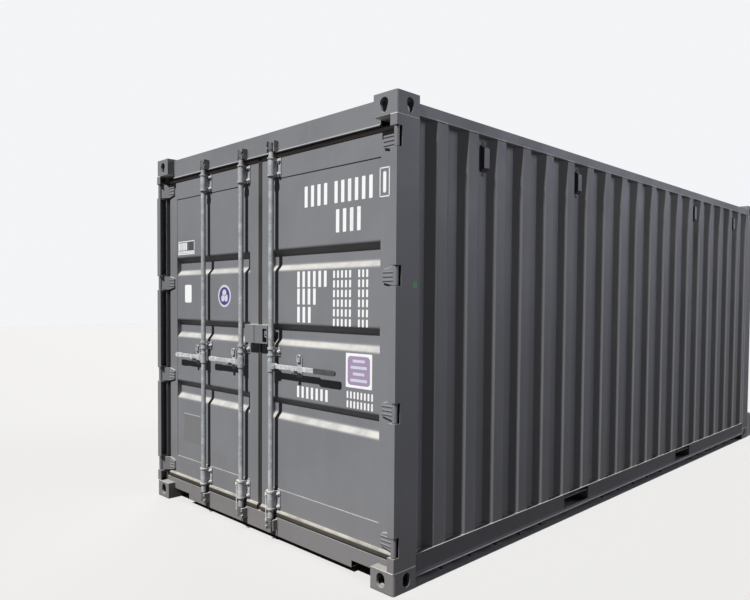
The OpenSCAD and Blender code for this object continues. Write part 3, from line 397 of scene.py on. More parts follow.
def paintMaterial(name, look):
    material, tree, shader = newMaterial(name, specular=look["gloss"])
    air = place(tree, weather, {"Dust": look["dust"], "Foot Dirt": look["foot"], "Streaks": look["streaks"]})
    marks = place(tree, chips, {"Amount": look["chips"]})
    edge = place(tree, edges, {"Radius": look["edge"]})
    colour = blend(ramp(air["Tone"], 0.35, 0.65), look["dark"], look["light"])
    colour = blend(air["Streak"], colour, look["streak"])
    # painted shade in inner corners and recesses
    colour = blend(times(edge["Corner"], look["corner"]), colour, grimeAndShading["corner"])
    colour = blend(air["Dirt"], colour, grimeAndShading["soil"])
    colour = blend(air["Dust"], colour, grimeAndShading["dust"])
    colour = blend(marks["Chip"], colour, grimeAndShading["chip"])
    # rubbed wear and painted highlight along the edges
    colour = blend(times(edge["Edge"], look["edgeWearAndHighlight"]), colour, grimeAndShading["rubbedAndHighlight"])
    # painted highlight: light lines along the seams, left off faces that look up
    for low, high in look.get("seams", []):
        upward = axisOf(addNode(tree, "TexCoord").outputs["Normal"], 2)
        seamHighlight = times(levelMask(tree, low, high), ramp(upward, 0.8, 0.4))
        colour = blend(seamHighlight, colour, look["seamHighlightColour"])
    if "dot" in look:
        colour = blend(ballMask(tree, *look["dot"]), colour, look["dotColour"])
    feed(shader["Base Color"], colour)
    dull = times(plus(air["Dust"], air["Dirt"]), 0.3)
    varied = ramp(air["Tone"], 0.3, 0.7, look["roughness"], look["roughness"] + 0.12)
    feed(shader["Roughness"], plus(varied, dull))
    height = place(tree, relief, {"Dents": look["dents"], "Grain": fineRelief["paint"]})["Height"]
    feed(shader["Normal"], bumped(height, Normal=edge["Normal"]))
    return material


# corner sets the painted shade in inner corners, and the edge amount sets the rubbed wear with painted highlight
paintBase = {
    "dark": (0.137, 0.139, 0.147, 1), "light": (0.152, 0.154, 0.162, 1), "streak": (0.190, 0.189, 0.190, 1),
    "gloss": 0.3, "roughness": 0.5, "dust": 0.6, "foot": 0.14, "streaks": 0.2,
    "chips": 0.12, "edge": 0.0025, "edgeWearAndHighlight": 0.15, "corner": 0.5, "dents": 0.0012,
}
doorPaint = paintMaterial("door paint", {**paintBase, "dents": 0.002})
frameLook = {**paintBase, "chips": 0.3, "dust": 0.35, "foot": 0.28, "edge": 0.003, "dents": 0.0004}
framePaint = paintMaterial("frame paint", frameLook)
headerPaint = paintMaterial("header paint", {**frameLook, "dust": 0.2})
# the light lines at the seams of the fittings are painted highlight
postPaint = paintMaterial("post paint", {
    **frameLook, "seams": [(0.1160, 0.1215), (2.4700, 2.4745)], "seamHighlightColour": (0.52, 0.51, 0.49, 1),
    "dot": ((-2.878, -1.219, 1.609), 0.018), "dotColour": (0.10, 0.33, 0.13, 1),
})
# the light band near the rail's lower edge is a painted highlight
railPaint = paintMaterial("rail paint", {
    **frameLook, "dark": (0.083, 0.085, 0.093, 1), "light": (0.094, 0.096, 0.104, 1), "foot": 0.10, "edgeWearAndHighlight": 0.05,
    "dust": 0.15, "seams": [(0.050, 0.081)], "seamHighlightColour": (0.150, 0.153, 0.160, 1),
})
roofPaint = paintMaterial("roof paint", {
    **paintBase, "edge": 0.006, "streaks": 0.0, "foot": 0.0, "dust": 0.12, "corner": 0.2,
})
# the light line along the top rail's lower edge is a painted highlight
topRailPaint = paintMaterial("top rail paint", {
    **frameLook, "seams": [(2.489, 2.4985)], "seamHighlightColour": (0.25, 0.25, 0.26, 1),
})
wallPaint = paintMaterial("wall paint", {
    **paintBase, "edge": 0.004, "streaks": 0.35, "foot": 0.25, "corner": 0.2, "dents": 0.001,
})


def zincMaterial(name, look):
    material, tree, shader = newMaterial(name, specular=0.5)
    air = place(tree, weather, {"Dust": look["dust"], "Foot Dirt": look["foot"], "Foot Height": 0.6, "Streaks": 0.3})
    coat = place(tree, zincCoat, {"Crystals": look["crystals"], "Bloom": look["bloom"], "Rust": look["rust"]})
    edge = place(tree, edges, {"Radius": look["edge"], "Reach": 0.012})
    colour = blend(coat["Shade"], look["dark"], look["light"])
    colour = blend(coat["Bloom"], colour, look["bloomColour"])
    # painted shade in inner corners, deepest inside the keepers
    colour = blend(times(edge["Corner"], 0.7), colour, look["cornerShadeColour"])
    colour = blend(coat["Rust"], colour, look["rustColour"])
    colour = blend(plus(air["Dust"], air["Dirt"]), colour, grimeAndShading["dust"])
    # rubbed wear and painted highlight along the edges
    colour = blend(times(edge["Edge"], look["wearAndHighlight"]), colour, look["wearAndHighlightColour"])
    # painted shade: dark bands at the rod ends, where the keepers and the header's drip lip shade them
    for low, high in look.get("endShade", []):
        colour = blend(times(levelMask(tree, low, high), 0.8), colour, look["endShadeColour"])
    # the handle's grip end, past gripStart along y, in a dark colour
    if "gripStart" in look:
        along = axisOf(objectPlace(tree), 1)
        gripEnd = ramp(along, look["gripStart"] + 0.004, look["gripStart"] - 0.004)
        colour = blend(times(gripEnd, 0.95), colour, look["grip"])
    feed(shader["Base Color"], colour)
    dull = plus(times(coat["Bloom"], 0.3), times(coat["Shade"], 0.08))
    feed(shader["Roughness"], plus(plus(dull, air["Dust"]), look["roughness"]))
    hidden = plus(times(coat["Rust"], look["metal"]), times(coat["Bloom"], 0.3))
    feed(shader["Metallic"], calc("MAXIMUM", calc("SUBTRACT", look["metal"], hidden)))
    rough = times(noise(objectPlace(tree), "zinc"), fineRelief["zinc"])
    feed(shader["Normal"], bumped(rough, Normal=edge["Normal"]))
    return material


# the corner colour is painted shade, and the edge amount and its colour give rubbed wear with painted highlight
zincBase = {
    "dark": (0.24, 0.25, 0.26, 1), "light": (0.31, 0.32, 0.33, 1), "crystals": 130.0, "bloom": 0.4, "rust": 0.3,
    "edge": 0.0012, "dust": 0.7, "foot": 0.1, "roughness": 0.45, "metal": 0.2, "wearAndHighlight": 0.6,
    "bloomColour": (0.62, 0.63, 0.64, 1), "cornerShadeColour": (0.06, 0.055, 0.05, 1), "wearAndHighlightColour": (0.62, 0.62, 0.61, 1),
    "rustColour": (0.20, 0.095, 0.045, 1), "endShadeColour": (0.05, 0.05, 0.052, 1),
}
# the rods' ends, inside the keepers and behind the header's lip, get bands of painted shade
rodZinc = zincMaterial("rod zinc", {
    **zincBase, "crystals": 90.0, "rust": 0.15, "bloom": 0.3, "endShade": [(0.05, 0.150), (2.444, 2.6)],
})
forgedZinc = zincMaterial("forged zinc", zincBase)
boltZinc = zincMaterial("bolt zinc", {**zincBase, "dark": (0.40, 0.41, 0.42, 1), "light": (0.52, 0.53, 0.54, 1)})
# the keepers in a much darker zinc than the other fittings
keeperZinc = zincMaterial("keeper zinc", {
    **zincBase, "dark": (0.10, 0.10, 0.105, 1), "light": (0.16, 0.16, 0.165, 1),
    "bloom": 0.25, "dust": 1.0, "rust": 0.4,
})
handleLook = {**zincBase, "dark": (0.34, 0.35, 0.35, 1), "light": (0.43, 0.44, 0.44, 1), "bloom": 0.6}
handleZinc = zincMaterial("handle zinc", handleLook)
# the right handle with its grip end in a dark colour
gripZinc = zincMaterial("grip zinc", {**handleLook, "gripStart": -0.567, "grip": (0.040, 0.043, 0.040, 1)})


def rubberMaterial(name, look):
    material, tree, shader = newMaterial(name, specular=0.35)
    air = place(tree, weather, {"Dust": 1.0, "Foot Dirt": look["foot"], "Streaks": 0.4})
    edge = place(tree, edges, {"Radius": 0.0015, "Reach": 0.01})
    colour = blend(ramp(air["Tone"], 0.35, 0.7), look["dark"], look["light"])
    colour = blend(air["Streak"], colour, look["streak"])
    colour = blend(calc("MAXIMUM", air["Dust"], air["Dirt"]), colour, look["powder"])
    feed(shader["Base Color"], colour)
    feed(shader["Roughness"], ramp(air["Tone"], 0.3, 0.7, 0.55, 0.75))
    fine = times(noise(objectPlace(tree), "rubber"), fineRelief["rubber"])
    feed(shader["Normal"], bumped(fine, Normal=edge["Normal"]))
    return material


filmWear = {"fleck": (0.17, 0.17, 0.18, 1), "streak": (0.2, 0.2, 0.2, 1)}


def plainMaterial(name, colour, roughness, fleck):
    # one colour broken by flecks and dust, for films and moulded covers
    material, tree, shader = newMaterial(name, specular=0.4)
    air = place(tree, weather, {"Foot Dirt": 0.2, "Streaks": 0.25})
    where = objectPlace(tree)
    worn = ramp(noise(where, "flecks"), 0.62, 0.72, 0.0, fleck)
    base = blend(worn, colour, filmWear["fleck"])
    base = blend(air["Streak"], base, filmWear["streak"])
    feed(shader["Base Color"], blend(air["Dust"], base, grimeAndShading["dust"]))
    feed(shader["Roughness"], ramp(air["Tone"], 0.3, 0.7, roughness, roughness + 0.15))
    feed(shader["Normal"], bumped(times(noise(where, "film"), fineRelief["film"])))
    return material


rubberBase = {
    "dark": (0.024, 0.022, 0.019, 1), "light": (0.046, 0.041, 0.033, 1), "streak": (0.075, 0.067, 0.050, 1),
    "powder": (0.30, 0.285, 0.25, 1), "foot": 0.0,
}
sealRubber = rubberMaterial("seal rubber", {**rubberBase, "foot": 0.4, "powder": (0.30, 0.28, 0.23, 1)})
lipRubber = rubberMaterial("lip rubber", rubberBase)
dustyRubber = rubberMaterial("dusty rubber", {
    **rubberBase, "dark": (0.18, 0.155, 0.128, 1), "light": (0.27, 0.24, 0.20, 1), "streak": (0.30, 0.27, 0.22, 1),
})
ventPlastic = plainMaterial("vent plastic", (0.075, 0.077, 0.085, 1), 0.45, 0.2)
whiteFilm = plainMaterial("white film", (0.66, 0.66, 0.66, 1), 0.4, 0.6)
milkyFilm = plainMaterial("milky film", (0.46, 0.46, 0.54, 1), 0.4, 0.3)
purpleFilm = plainMaterial("purple film", (0.265, 0.205, 0.30, 1), 0.35, 0.2)
blueFilm = plainMaterial("blue film", (0.045, 0.042, 0.14, 1), 0.35, 0.2)
darkFilm = plainMaterial("dark film", (0.055, 0.055, 0.062, 1), 0.45, 0.2)
patchFilm = plainMaterial("patch film", (0.132, 0.131, 0.131, 1), 0.5, 0.1)
lineFilm = plainMaterial("line film", (0.33, 0.33, 0.33, 1), 0.5, 0.2)


ply = {
    # colours, the shift that brings the floor's corner to zero, and the size of a panel
    "dark": (0.16, 0.085, 0.045, 1), "light": (0.34, 0.20, 0.11, 1), "oil": (0.20, 0.15, 0.11, 1),
    "deep": (0.12, 0.075, 0.045, 1), "corner": (2.851, 1.165, 0.5), "panel": (1.1612, 1.165, 5.0),
}


def plyMaterial(name):
    # long grain along the floor, worn oil, and each panel in a tone of its own
    material, tree, shader = newMaterial(name, specular=0.35)
    where = objectPlace(tree)
    grain = noise(where, "plyGrain")
    panel = vectorCalc("SNAP", vectorCalc("ADD", where, ply["corner"]), ply["panel"])
    tone = addNode(tree, "TexWhiteNoise", {"Vector": panel}).outputs["Value"]
    colour = blend(ramp(grain, 0.35, 0.65), ply["dark"], ply["light"])
    colour = blend(ramp(noise(where, "plyOil"), 0.45, 0.75), colour, ply["oil"])
    colour = blend(times(tone, 0.35), colour, ply["deep"])
    feed(shader["Base Color"], colour)
    feed(shader["Roughness"], ramp(grain, 0.3, 0.7, 0.75, 0.5))
    feed(shader["Normal"], bumped(times(grain, fineRelief["ply"])))
    return material


plywood = plyMaterial("floor plywood")
# the gap tone is painted shade between the fibres
fibreTones = {"clean": (0.62, 0.60, 0.55, 1), "soiled": (0.36, 0.33, 0.28, 1), "gap": (0.2, 0.18, 0.15, 1)}


def ropeMaterial(name):
    # pale fibres that follow the strands, which the mesh itself twists, with painted shade in the gaps between fibres
    material, tree, shader = newMaterial(name, 0.3, **{"Sheen Weight": 0.3, "Roughness": 0.8})
    where = objectPlace(tree)
    fibre = noise(where, "fibre")
    colour = blend(ramp(noise(where, "ropeDirt"), 0.45, 0.75), fibreTones["clean"], fibreTones["soiled"])
    # painted shade: the gaps between fibres go dark
    between = ramp(fibre, 0.3, 0.5, 0.35, 0.0)
    feed(shader["Base Color"], blend(between, colour, fibreTones["gap"]))
    feed(shader["Normal"], bumped(times(fibre, fineRelief["rope"])))
    return material


ropeFibre = ropeMaterial("rope fibre")
print("materials made")


# Hold back ropes: three strands twisted, a noose round the rod and a knot at the free end

rope = {
    "diameter": 0.006, "lay": 0.024, "apart": 0.8, "step": 0.0016, "knotStep": 0.0012, "around": 24,
    "taper": 0.0018, "tip": 0.15,
    "knot": {"from": -0.35, "to": 2 * math.pi - 0.55, "at": (0.0035, 0, 0.009), "radius": 0.0075, "drop": 0.017},
    "hitch": {"at": (-0.0180, 0.0215, 0), "radius": 0.0062, "top": -0.010, "drop": 0.017, "turns": 2.6},
    "base": {"right": (-3.000, -0.165, 0.320), "left": (-3.000, 0.155, 0.320)},
    "route": [
        (-0.016, 0.0245, -0.014), (-0.0135, 0.027, -0.003), (-0.0095, 0.0265, 0.004), (-0.002, 0.0226, 0.0035),
        (0.012, 0.019, 0.0033), (0.020, 0.010, 0.0033), (0.0224, 0, 0.0033), (0.020, -0.010, 0.0033),
        (0.012, -0.019, 0.0033), (0, -0.0224, 0.0033), (-0.012, -0.019, 0.0033), (-0.020, -0.010, 0.0033),
        (-0.023, 0.002, 0.0033), (-0.024, 0.008, 0.005), (-0.0245, 0.016, 0.0015), (-0.023, 0.0185, -0.008),
        (-0.021, 0.0208, -0.020), *[(-0.021, 0.021, -0.036 - 0.016 * i) for i in range(10)], (-0.021, 0.021, -0.198),
    ],
}


def strandSurface(path):
    # three overlapping circles as strands, off the middle by a share of their radius, turned once per lay
    run = runAlong(path)[:, None]
    angle = np.linspace(0, 2 * math.pi, rope["around"], endpoint=False)
    third = 2 * math.pi / 3
    turned = (angle - 2 * math.pi * run / rope["lay"] + third / 2) % third - third / 2
    strand = rope["diameter"] / (2 * (1 + rope["apart"]))
    off = rope["apart"] * strand
    radius = off * np.cos(turned) + np.sqrt(strand**2 - (off * np.sin(turned))**2)
    taper = np.sqrt(np.clip(np.minimum(run, run[-1] - run) / rope["taper"], rope["tip"], 1))
    return sweep(path, angle, radius * taper)


def knotPath(middle, look):
    # overhand knot: a trefoil line squeezed flat, radius across and drop high
    t = np.linspace(look["from"], look["to"], 90)
    across = np.stack([np.sin(t) + 2 * np.sin(2 * t), -np.sin(3 * t)], -1) * look["radius"] / 3
    high = (np.cos(t) - 2 * np.cos(2 * t)) * look["drop"] / 6
    return evenPath(np.c_[across, high] + middle + look["at"], rope["knotStep"])


def hitchPath(middle, look):
    # turns wound round the hanging line, from top down
    t = np.linspace(0, 1, 60)
    angle = 2 * math.pi * look["turns"] * t
    x, y = look["radius"] * np.cos(angle), look["radius"] * np.sin(angle)
    return evenPath(np.c_[x, y, look["top"] - look["drop"] * t] + middle + look["at"], rope["knotStep"])


def makeRope(side, node, body):
    base, route = np.array(rope["base"][side]), np.array(rope["route"])
    path = smoothPath(base + route, rope["step"])
    line = addPiece(f"rope_{side}", *strandSurface(path), ropeFibre, body, "rope")
    knots = [strandSurface(knotPath(base + route[-1], rope["knot"])), strandSurface(hitchPath(base, rope["hitch"]))]
    knot = addPiece(f"rope_knots_{side}", *joinShells(knots), ropeFibre, body, "rope")
    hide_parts(node)


makeRope("right", "hold_back_rope_right", "right_door")
makeRope("left", "hold_back_rope_left", "left_door")


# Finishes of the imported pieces

finishes = {
    doorPaint: [f"{side}_{name}" for side in ("right", "left")
                for name in ("door_stiles", "door_rails", "door_panel", "door_hinges", "lock_box")],
    wallPaint: ["side_wall_right", "side_wall_left", "front_wall"],
    roofPaint: ["roof"],
    rodZinc: ["lock_rod_right", "lock_rod_left_inner", "lock_rod_left_outer"],
    forgedZinc: ["right_lock_fittings", "left_lock_fittings", "hinge_pins"],
    handleZinc: ["handle_left_inner", "handle_left_outer"],
    keeperZinc: ["cam_keepers"],
    headerPaint: ["door_header"],
    postPaint: [f"{end}_post_{side}" for end in ("rear", "front") for side in ("left", "right")] + [
        f"{level}_fittings_{end}_end" for end in ("door", "closed") for level in ("top", "bottom")
    ],
    topRailPaint: ["top_side_rail_left", "top_side_rail_right"],
    railPaint: ["bottom_side_rail_left", "bottom_side_rail_right", "fork_mouth_bars"],
    gripZinc: ["handle_right"],
    sealRubber: ["right_door_seal", "left_door_seal"],
    ventPlastic: ["vents"],
    plywood: ["floor"],
}


def dress(piece, material):
    if not piece.material_slots:
        piece.data.materials.append(material)
    for slot in piece.material_slots:
        slot.material = material


for piece in nodes.values():
    dress(piece, framePaint)
for material, names in finishes.items():
    for name in names:
        dress(nodes[name], material)
print("nodes dressed")


# Places on the doors that several pieces share: faces by x, edges of a panel and rods by y, the rest by z

doors = {
    "leafFace": -2.956, "panelFace": -2.952, "frameFace": -2.970,
    "near": 0.113, "far": 1.046, "low": 0.328, "high": 2.288, "rods": {"right": [-0.165], "left": [0.155, 0.610]},
    "hinges": (0.250, 0.948, 1.655, 2.360), "keepers": (0.108, 2.480),
}
leaves = (("right", -1, "right_door"), ("left", 1, "left_door"))


# Bolts of the rod bearings

bolt = {
    "across": 0.019, "head": 0.009, "washer": 0.0125, "washerHeight": 0.0022, "shank": 0.006, "tip": 0.005,
    "around": 24, "seat": {"long": -2.962, "mid": -2.958},
    "long": [(y, z) for y in (-0.0345, 0.0345) for z in (-0.040, 0.040)],
    "mid": [(y, 0) for y in (-0.0315, 0.0315)],
    "longMiddles": (2.353, 0.262), "midMiddle": 1.203,
}


def boltShell():
    # rings along -X: washer, then a nut whose six flats are cut by a cone, then the end of the shank
    angle = np.linspace(0, 2 * math.pi, bolt["around"], endpoint=False)
    hexagon = (bolt["across"] / 2) / np.cos((angle + math.pi / 6) % (math.pi / 3) - math.pi / 6)
    w, h, top = bolt["washerHeight"], bolt["head"], bolt["washerHeight"] + bolt["head"]
    # height over the seat, largest radius, and whether the flats cut it
    rings = [
        (0, bolt["washer"], False), (0.7 * w, bolt["washer"], False), (w, 0.95 * bolt["washer"], False),
        (w, bolt["across"], True), (top - 0.10 * h, bolt["across"], True), (top, 0.56 * bolt["across"], True),
        (top, 0.5 * bolt["across"], False), (top, bolt["shank"], False),
        (top + 0.7 * bolt["tip"], bolt["shank"], False), (top + bolt["tip"], 0.8 * bolt["shank"], False),
    ]
    points = []
    for out, limit, hasFlats in rings:
        radius = np.minimum(hexagon, limit) if hasFlats else np.full_like(angle, limit)
        points.append(np.stack([np.full_like(angle, -out), radius * np.cos(angle), radius * np.sin(angle)], -1))
    return np.array(points), tubeFaces(len(rings), bolt["around"])


def makeBolts(side, body):
    shell, faces = boltShell()
    places = []
    for y in doors["rods"][side]:
        places += [(bolt["seat"]["long"], y + dy, z + dz) for z in bolt["longMiddles"] for dy, dz in bolt["long"]]
        places += [(bolt["seat"]["mid"], y + dy, bolt["midMiddle"] + dz) for dy, dz in bolt["mid"]]
    places = np.array(places)
    turn = draws.uniform(0, math.pi / 3, len(places))[:, None, None]
    y, z = shell[..., 1][None], shell[..., 2][None]
    x = np.broadcast_to(shell[..., 0][None], (len(places), *shell.shape[:2]))
    points = np.stack([x, y * np.cos(turn) - z * np.sin(turn), y * np.sin(turn) + z * np.cos(turn)], -1)
    points = points + places[:, None, None, :]
    faces = manyFaces(faces, shell.shape[0] * shell.shape[1], len(places))
    addSharp(f"bearing_bolts_{side}", points, faces, boltZinc, body, "galvanised")


for side, sign, body in leaves:
    makeBolts(side, body)
print("bolts made")


# Pressed sheets of the leaves, with rounded bends

sheet = {
    "grooves": (0.846, 1.312, 1.778), "depth": 0.034, "floor": 0.031, "slope": 0.036, "round": 0.008, "samples": 9,
    "thick": 0.002, "step": 0.003, "stations": 12,
}


def sheetFace(z):
    # depth of a groove falls off along its slopes, and is averaged over a short run to round the bends
    total = 0
    for off in np.linspace(-sheet["round"], sheet["round"], sheet["samples"]):
        for middle in sheet["grooves"]:
            away = np.abs(z + off - middle) - sheet["floor"]
            total = total + np.clip(1 - away / sheet["slope"], 0, 1)
    return doors["panelFace"] + sheet["depth"] * total / sheet["samples"]


def makeSheets():
    z = np.linspace(doors["low"], doors["high"], int((doors["high"] - doors["low"]) / sheet["step"]))
    front = sheetFace(z)
    outline = np.concatenate([np.stack([front, z], -1), np.stack([front + sheet["thick"], z], -1)[::-1]])
    run = np.linspace(doors["near"], doors["far"], sheet["stations"])
    for side, sign, body in leaves:
        piece = addSharp(f"leaf_sheet_{side}", *drawOut(outline, run, sign), doorPaint, body, "paint")
        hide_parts(f"{side}_door_panel")


makeSheets()
print("leaf sheets made")


# Weld beads: rippled round beads half sunk in their seams

bead = {
    "ripple": 0.007, "swell": 0.13, "uneven": 0.05, "taper": 1.5, "tip": 0.1, "around": 7, "perRipple": 2.6,
    "radius": {"frame": 0.003, "rail": 0.0027, "wall": 0.0035, "leaf": 0.0026, "hinge": 0.0034, "box": 0.003,
               "keeper": 0.0028},
}
wave = {
    "pitch": 0.290, "inner": 0.072, "slope": 0.064, "depth": 0.036, "count": 20, "shift": -0.036, "end": 2.851,
    "face": -1.213, "levels": ((0.178, "wall_welds_low"), (2.490, "wall_welds_top")),
}
weld = {
    # upright lines as x, y, low z, high z, and the line of the bottom rail
    "frame": [(-2.970, -1.057, 2.475, 2.580), (-2.970, -1.057, 0.076, 0.117)] + [
        (x, -1.2135, *run) for run in ((0.180, 2.488), (0.059, 0.117), (2.491, 2.549)) for x in (-2.851, 2.851)
    ],
    "rail": ((-2.850, -1.2148, 0.1785), (2.850, -1.2148, 0.1785)),
    # both ends of a blade as y and half height, and the y of the bead across its inner end
    "blade": ((1.144, 0.0485), (1.075, 0.035), 1.073), "leafInset": 0.002, "grooveStep": 0.006,
    # the lock box as side, first y, last y and body, then half sizes of a keeper
    "boxes": (("right", -0.140, -0.006, "right_door"), ("left", 0.006, 0.101, "left_door")), "boxTop": 1.369,
    "keeper": (0.036, 0.032),
}


def beadShell(line, radius):
    # circles along the line whose radius swells once per ripple, with tapered ends
    path = evenPath(line, bead["ripple"] / bead["perRipple"])
    run = runAlong(path)
    angle = np.linspace(0, 2 * math.pi, bead["around"], endpoint=False)
    size = 1 + bead["swell"] * np.sin(2 * math.pi * run / bead["ripple"]) + draws.normal(0, bead["uneven"], len(run))
    size *= np.sqrt(np.clip(np.minimum(run, run[-1] - run) / (bead["taper"] * radius), bead["tip"], 1))
    return sweep(path, angle, (radius * size)[:, None])


def addBeads(name, lines, kind, material, body):
    shells = [beadShell(line, bead["radius"][kind]) for line in lines]
    addPiece(name, *joinShells(shells), material, body, "paint")


def mirrored(lines):
    # the lines and their mirror images on the other side
    lines = [np.array(line) for line in lines]
    return lines + [line * (1, -1, 1) for line in lines]


def waveLine(z):
    # the outer face of the right side wall at one height, with its first bend kept off the end
    middles = (np.arange(wave["count"]) - (wave["count"] - 1) / 2) * wave["pitch"] + wave["shift"]
    half = wave["inner"] / 2
    offsets = np.array([-half - wave["slope"], -half, half, half + wave["slope"]])
    x = (middles[:, None] + offsets).reshape(-1)
    y = np.tile(wave["face"] + wave["depth"] * np.array([0, 1, 1, 0]), wave["count"])
    x = np.maximum(x, np.where(np.arange(len(x)) == 1, -wave["end"] + wave["slope"], -wave["end"]))
    x, y = np.r_[-wave["end"], x, wave["end"]], np.r_[wave["face"], y, wave["face"]]
    return np.stack([x, y, np.full_like(x, z)], -1)


def grooveLine(y):
    # the face of a leaf's sheet from bottom to top at one y
    z = np.arange(doors["low"] + weld["leafInset"], doors["high"] - weld["leafInset"] / 2, weld["grooveStep"])
    return np.stack([sheetFace(z), np.full_like(z, y), z], -1)


def makeFrameBeads():
    uprights = [((x, y, low), (x, y, high)) for x, y, low, high in weld["frame"]]
    addBeads("frame_welds", mirrored(uprights), "frame", framePaint, "container")
    addBeads("rail_welds", mirrored([weld["rail"]]), "rail", wallPaint, "container")
    for height, name in wave["levels"]:
        addBeads(name, mirrored([waveLine(height)]), "wall", wallPaint, "container")


def makeLeafBeads():
    x, inset = doors["leafFace"], weld["leafInset"]
    (outer, tall), (inner, short), tip = weld["blade"]
    ends = np.array([(doors["panelFace"], y, 0) for y in (doors["far"] - inset, doors["near"] + inset)])
    for side, sign, body in leaves:
        lines = [grooveLine(sign * doors["far"]), grooveLine(sign * doors["near"])]
        lines += [ends * (1, sign, 1) + (0, 0, z) for z in (doors["low"], doors["high"])]
        addBeads(f"leaf_welds_{side}", lines, "leaf", doorPaint, body)
        blades = []
        for z in doors["hinges"]:
            blades += [[(x, sign * outer, z + end * tall), (x, sign * inner, z + end * short)] for end in (-1, 1)]
            blades += [[(x, sign * tip, z - short), (x, sign * tip, z + short)]]
        addBeads(f"hinge_welds_{side}", blades, "hinge", doorPaint, body)


def makeLockBeads():
    x, z = doors["leafFace"], weld["boxTop"]
    for side, start, end, body in weld["boxes"]:
        addBeads(f"box_welds_{side}", [[(x, start, z), (x, end, z)]], "box", doorPaint, body)
    x, (wide, high) = doors["frameFace"], weld["keeper"]
    rods = doors["rods"]["right"] + doors["rods"]["left"]
    lines = [[(x, y + edge, z - high), (x, y + edge, z + high)]
             for y in rods for z in doors["keepers"] for edge in (-wide, wide)]
    addBeads("keeper_welds", lines, "keeper", framePaint, "container")


makeFrameBeads()
makeLeafBeads()
makeLockBeads()
print("weld beads made")


# Lips of the door seals, which lap over the edges of the leaves

lip = {
    # outline across a lip: x, then z for the level ones or distance from the middle plane for the upright ones
    "low": [(-2.951, 0.1965), (-2.9566, 0.1965), (-2.9590, 0.1945), (-2.9700, 0.1835), (-2.9715, 0.1805),
            (-2.9715, 0.1620), (-2.9700, 0.1570), (-2.9650, 0.1545), (-2.951, 0.1545)],
    "top": [(-2.951, 2.4195), (-2.9585, 2.4195), (-2.9620, 2.4215), (-2.9630, 2.4260), (-2.9625, 2.4345),
            (-2.9600, 2.4385), (-2.951, 2.4390)],
    "middle": [(-2.951, 0.0015), (-2.9600, 0.0015), (-2.9625, 0.0035), (-2.9632, 0.0085), (-2.9625, 0.0145),
               (-2.9600, 0.0165), (-2.951, 0.0165)],
    # from and to along y for the level ones, along z for the upright ones
    "level": (0.017, 1.144), "upright": [(0.197, 1.246), (1.372, 2.4195)],
}


def makeLips():
    for side, sign, body in leaves:
        shells = [drawOut(lip["low"], lip["level"], sign)]
        shells += [drawOut(lip["middle"], run, sign, isUpright=True) for run in lip["upright"]]
        addSharp(f"seal_lips_{side}", *joinShells(shells), lipRubber, body, "seal")
        addSharp(f"seal_top_{side}", *drawOut(lip["top"], lip["level"], sign), dustyRubber, body, "seal")


makeLips()
print("seal lips made")


# Marks on the leaves: film plates, and plain bars in the places of the writing

film = {
    "thick": 0.0004, "line": 0.006, "round": 0.004, "steps": 5, "bigCorner": 0.03, "bevel": 0.3, "barShare": 0.24,
}
# each row of bars: first y, last y, low z, high z, number of bars
rightRows = [
    (-0.413, -0.640, 2.080, 2.205, 4), (-0.672, -0.997, 2.080, 2.205, 6), (-0.685, -0.909, 1.913, 2.044, 4),
    (-0.350, -0.636, 1.605, 1.700, 6), (-0.350, -0.542, 1.501, 1.597, 4), (-0.350, -0.498, 1.392, 1.487, 3),
    (-0.352, -0.648, 0.935, 1.005, 7),
]
rightRows += [(first, last, 1.655 - 0.055 * i, 1.697 - 0.055 * i, count)
              for first, last, count in ((-0.670, -0.832, 5), (-0.871, -0.962, 3)) for i in range(6)]
rightRows += [(-0.787, -1.003, z, z + 0.040, 8) for z in (0.925, 0.978)]
# plates as y, z, half width, half height
plates = {
    "frame": (-1.0725, 2.152, 0.0325, 0.075), "boxed": [(-1.0725, 2.152, 0.011, 0.056)],
    "border": [(-0.887, 1.1365, 0.101, 0.0965)], "sticker": [(-0.887, 1.1365, 0.086, 0.081)],
    "stickerBars": [(-0.887, 1.190 - 0.036 * i, (0.046, 0.062, 0.044, 0.064)[i], 0.008) for i in range(4)],
    "notice": [(0.893, 1.572, 0.046, 0.066)],
    "discRim": [(0.4175, 1.554, 0.0775, 0.0775)], "disc": [(0.4175, 1.554, 0.0625, 0.0625)],
    "discMiddle": [(0.4175, 1.576, 0.024, 0.024), (0.397, 1.540, 0.020, 0.026), (0.436, 1.538, 0.018, 0.023)],
    "dataFrame": (0.920, 1.926, 0.112, 0.037), "dataSquare": [(0.852, 1.926, 0.040, 0.033)],
    "dataBars": [(1.012 - 0.030 * i, 1.926, 0.0105, 0.028) for i in range(4)]
    + [(0.920, 1.880 - 0.011 * i, 0.116, 0.0038) for i in range(2)],
    "patch": [(0.8435, 0.5625, 0.1115, 0.1065)], "patchLine": [(0.8435, 0.667, 0.1115, 0.003)],
}


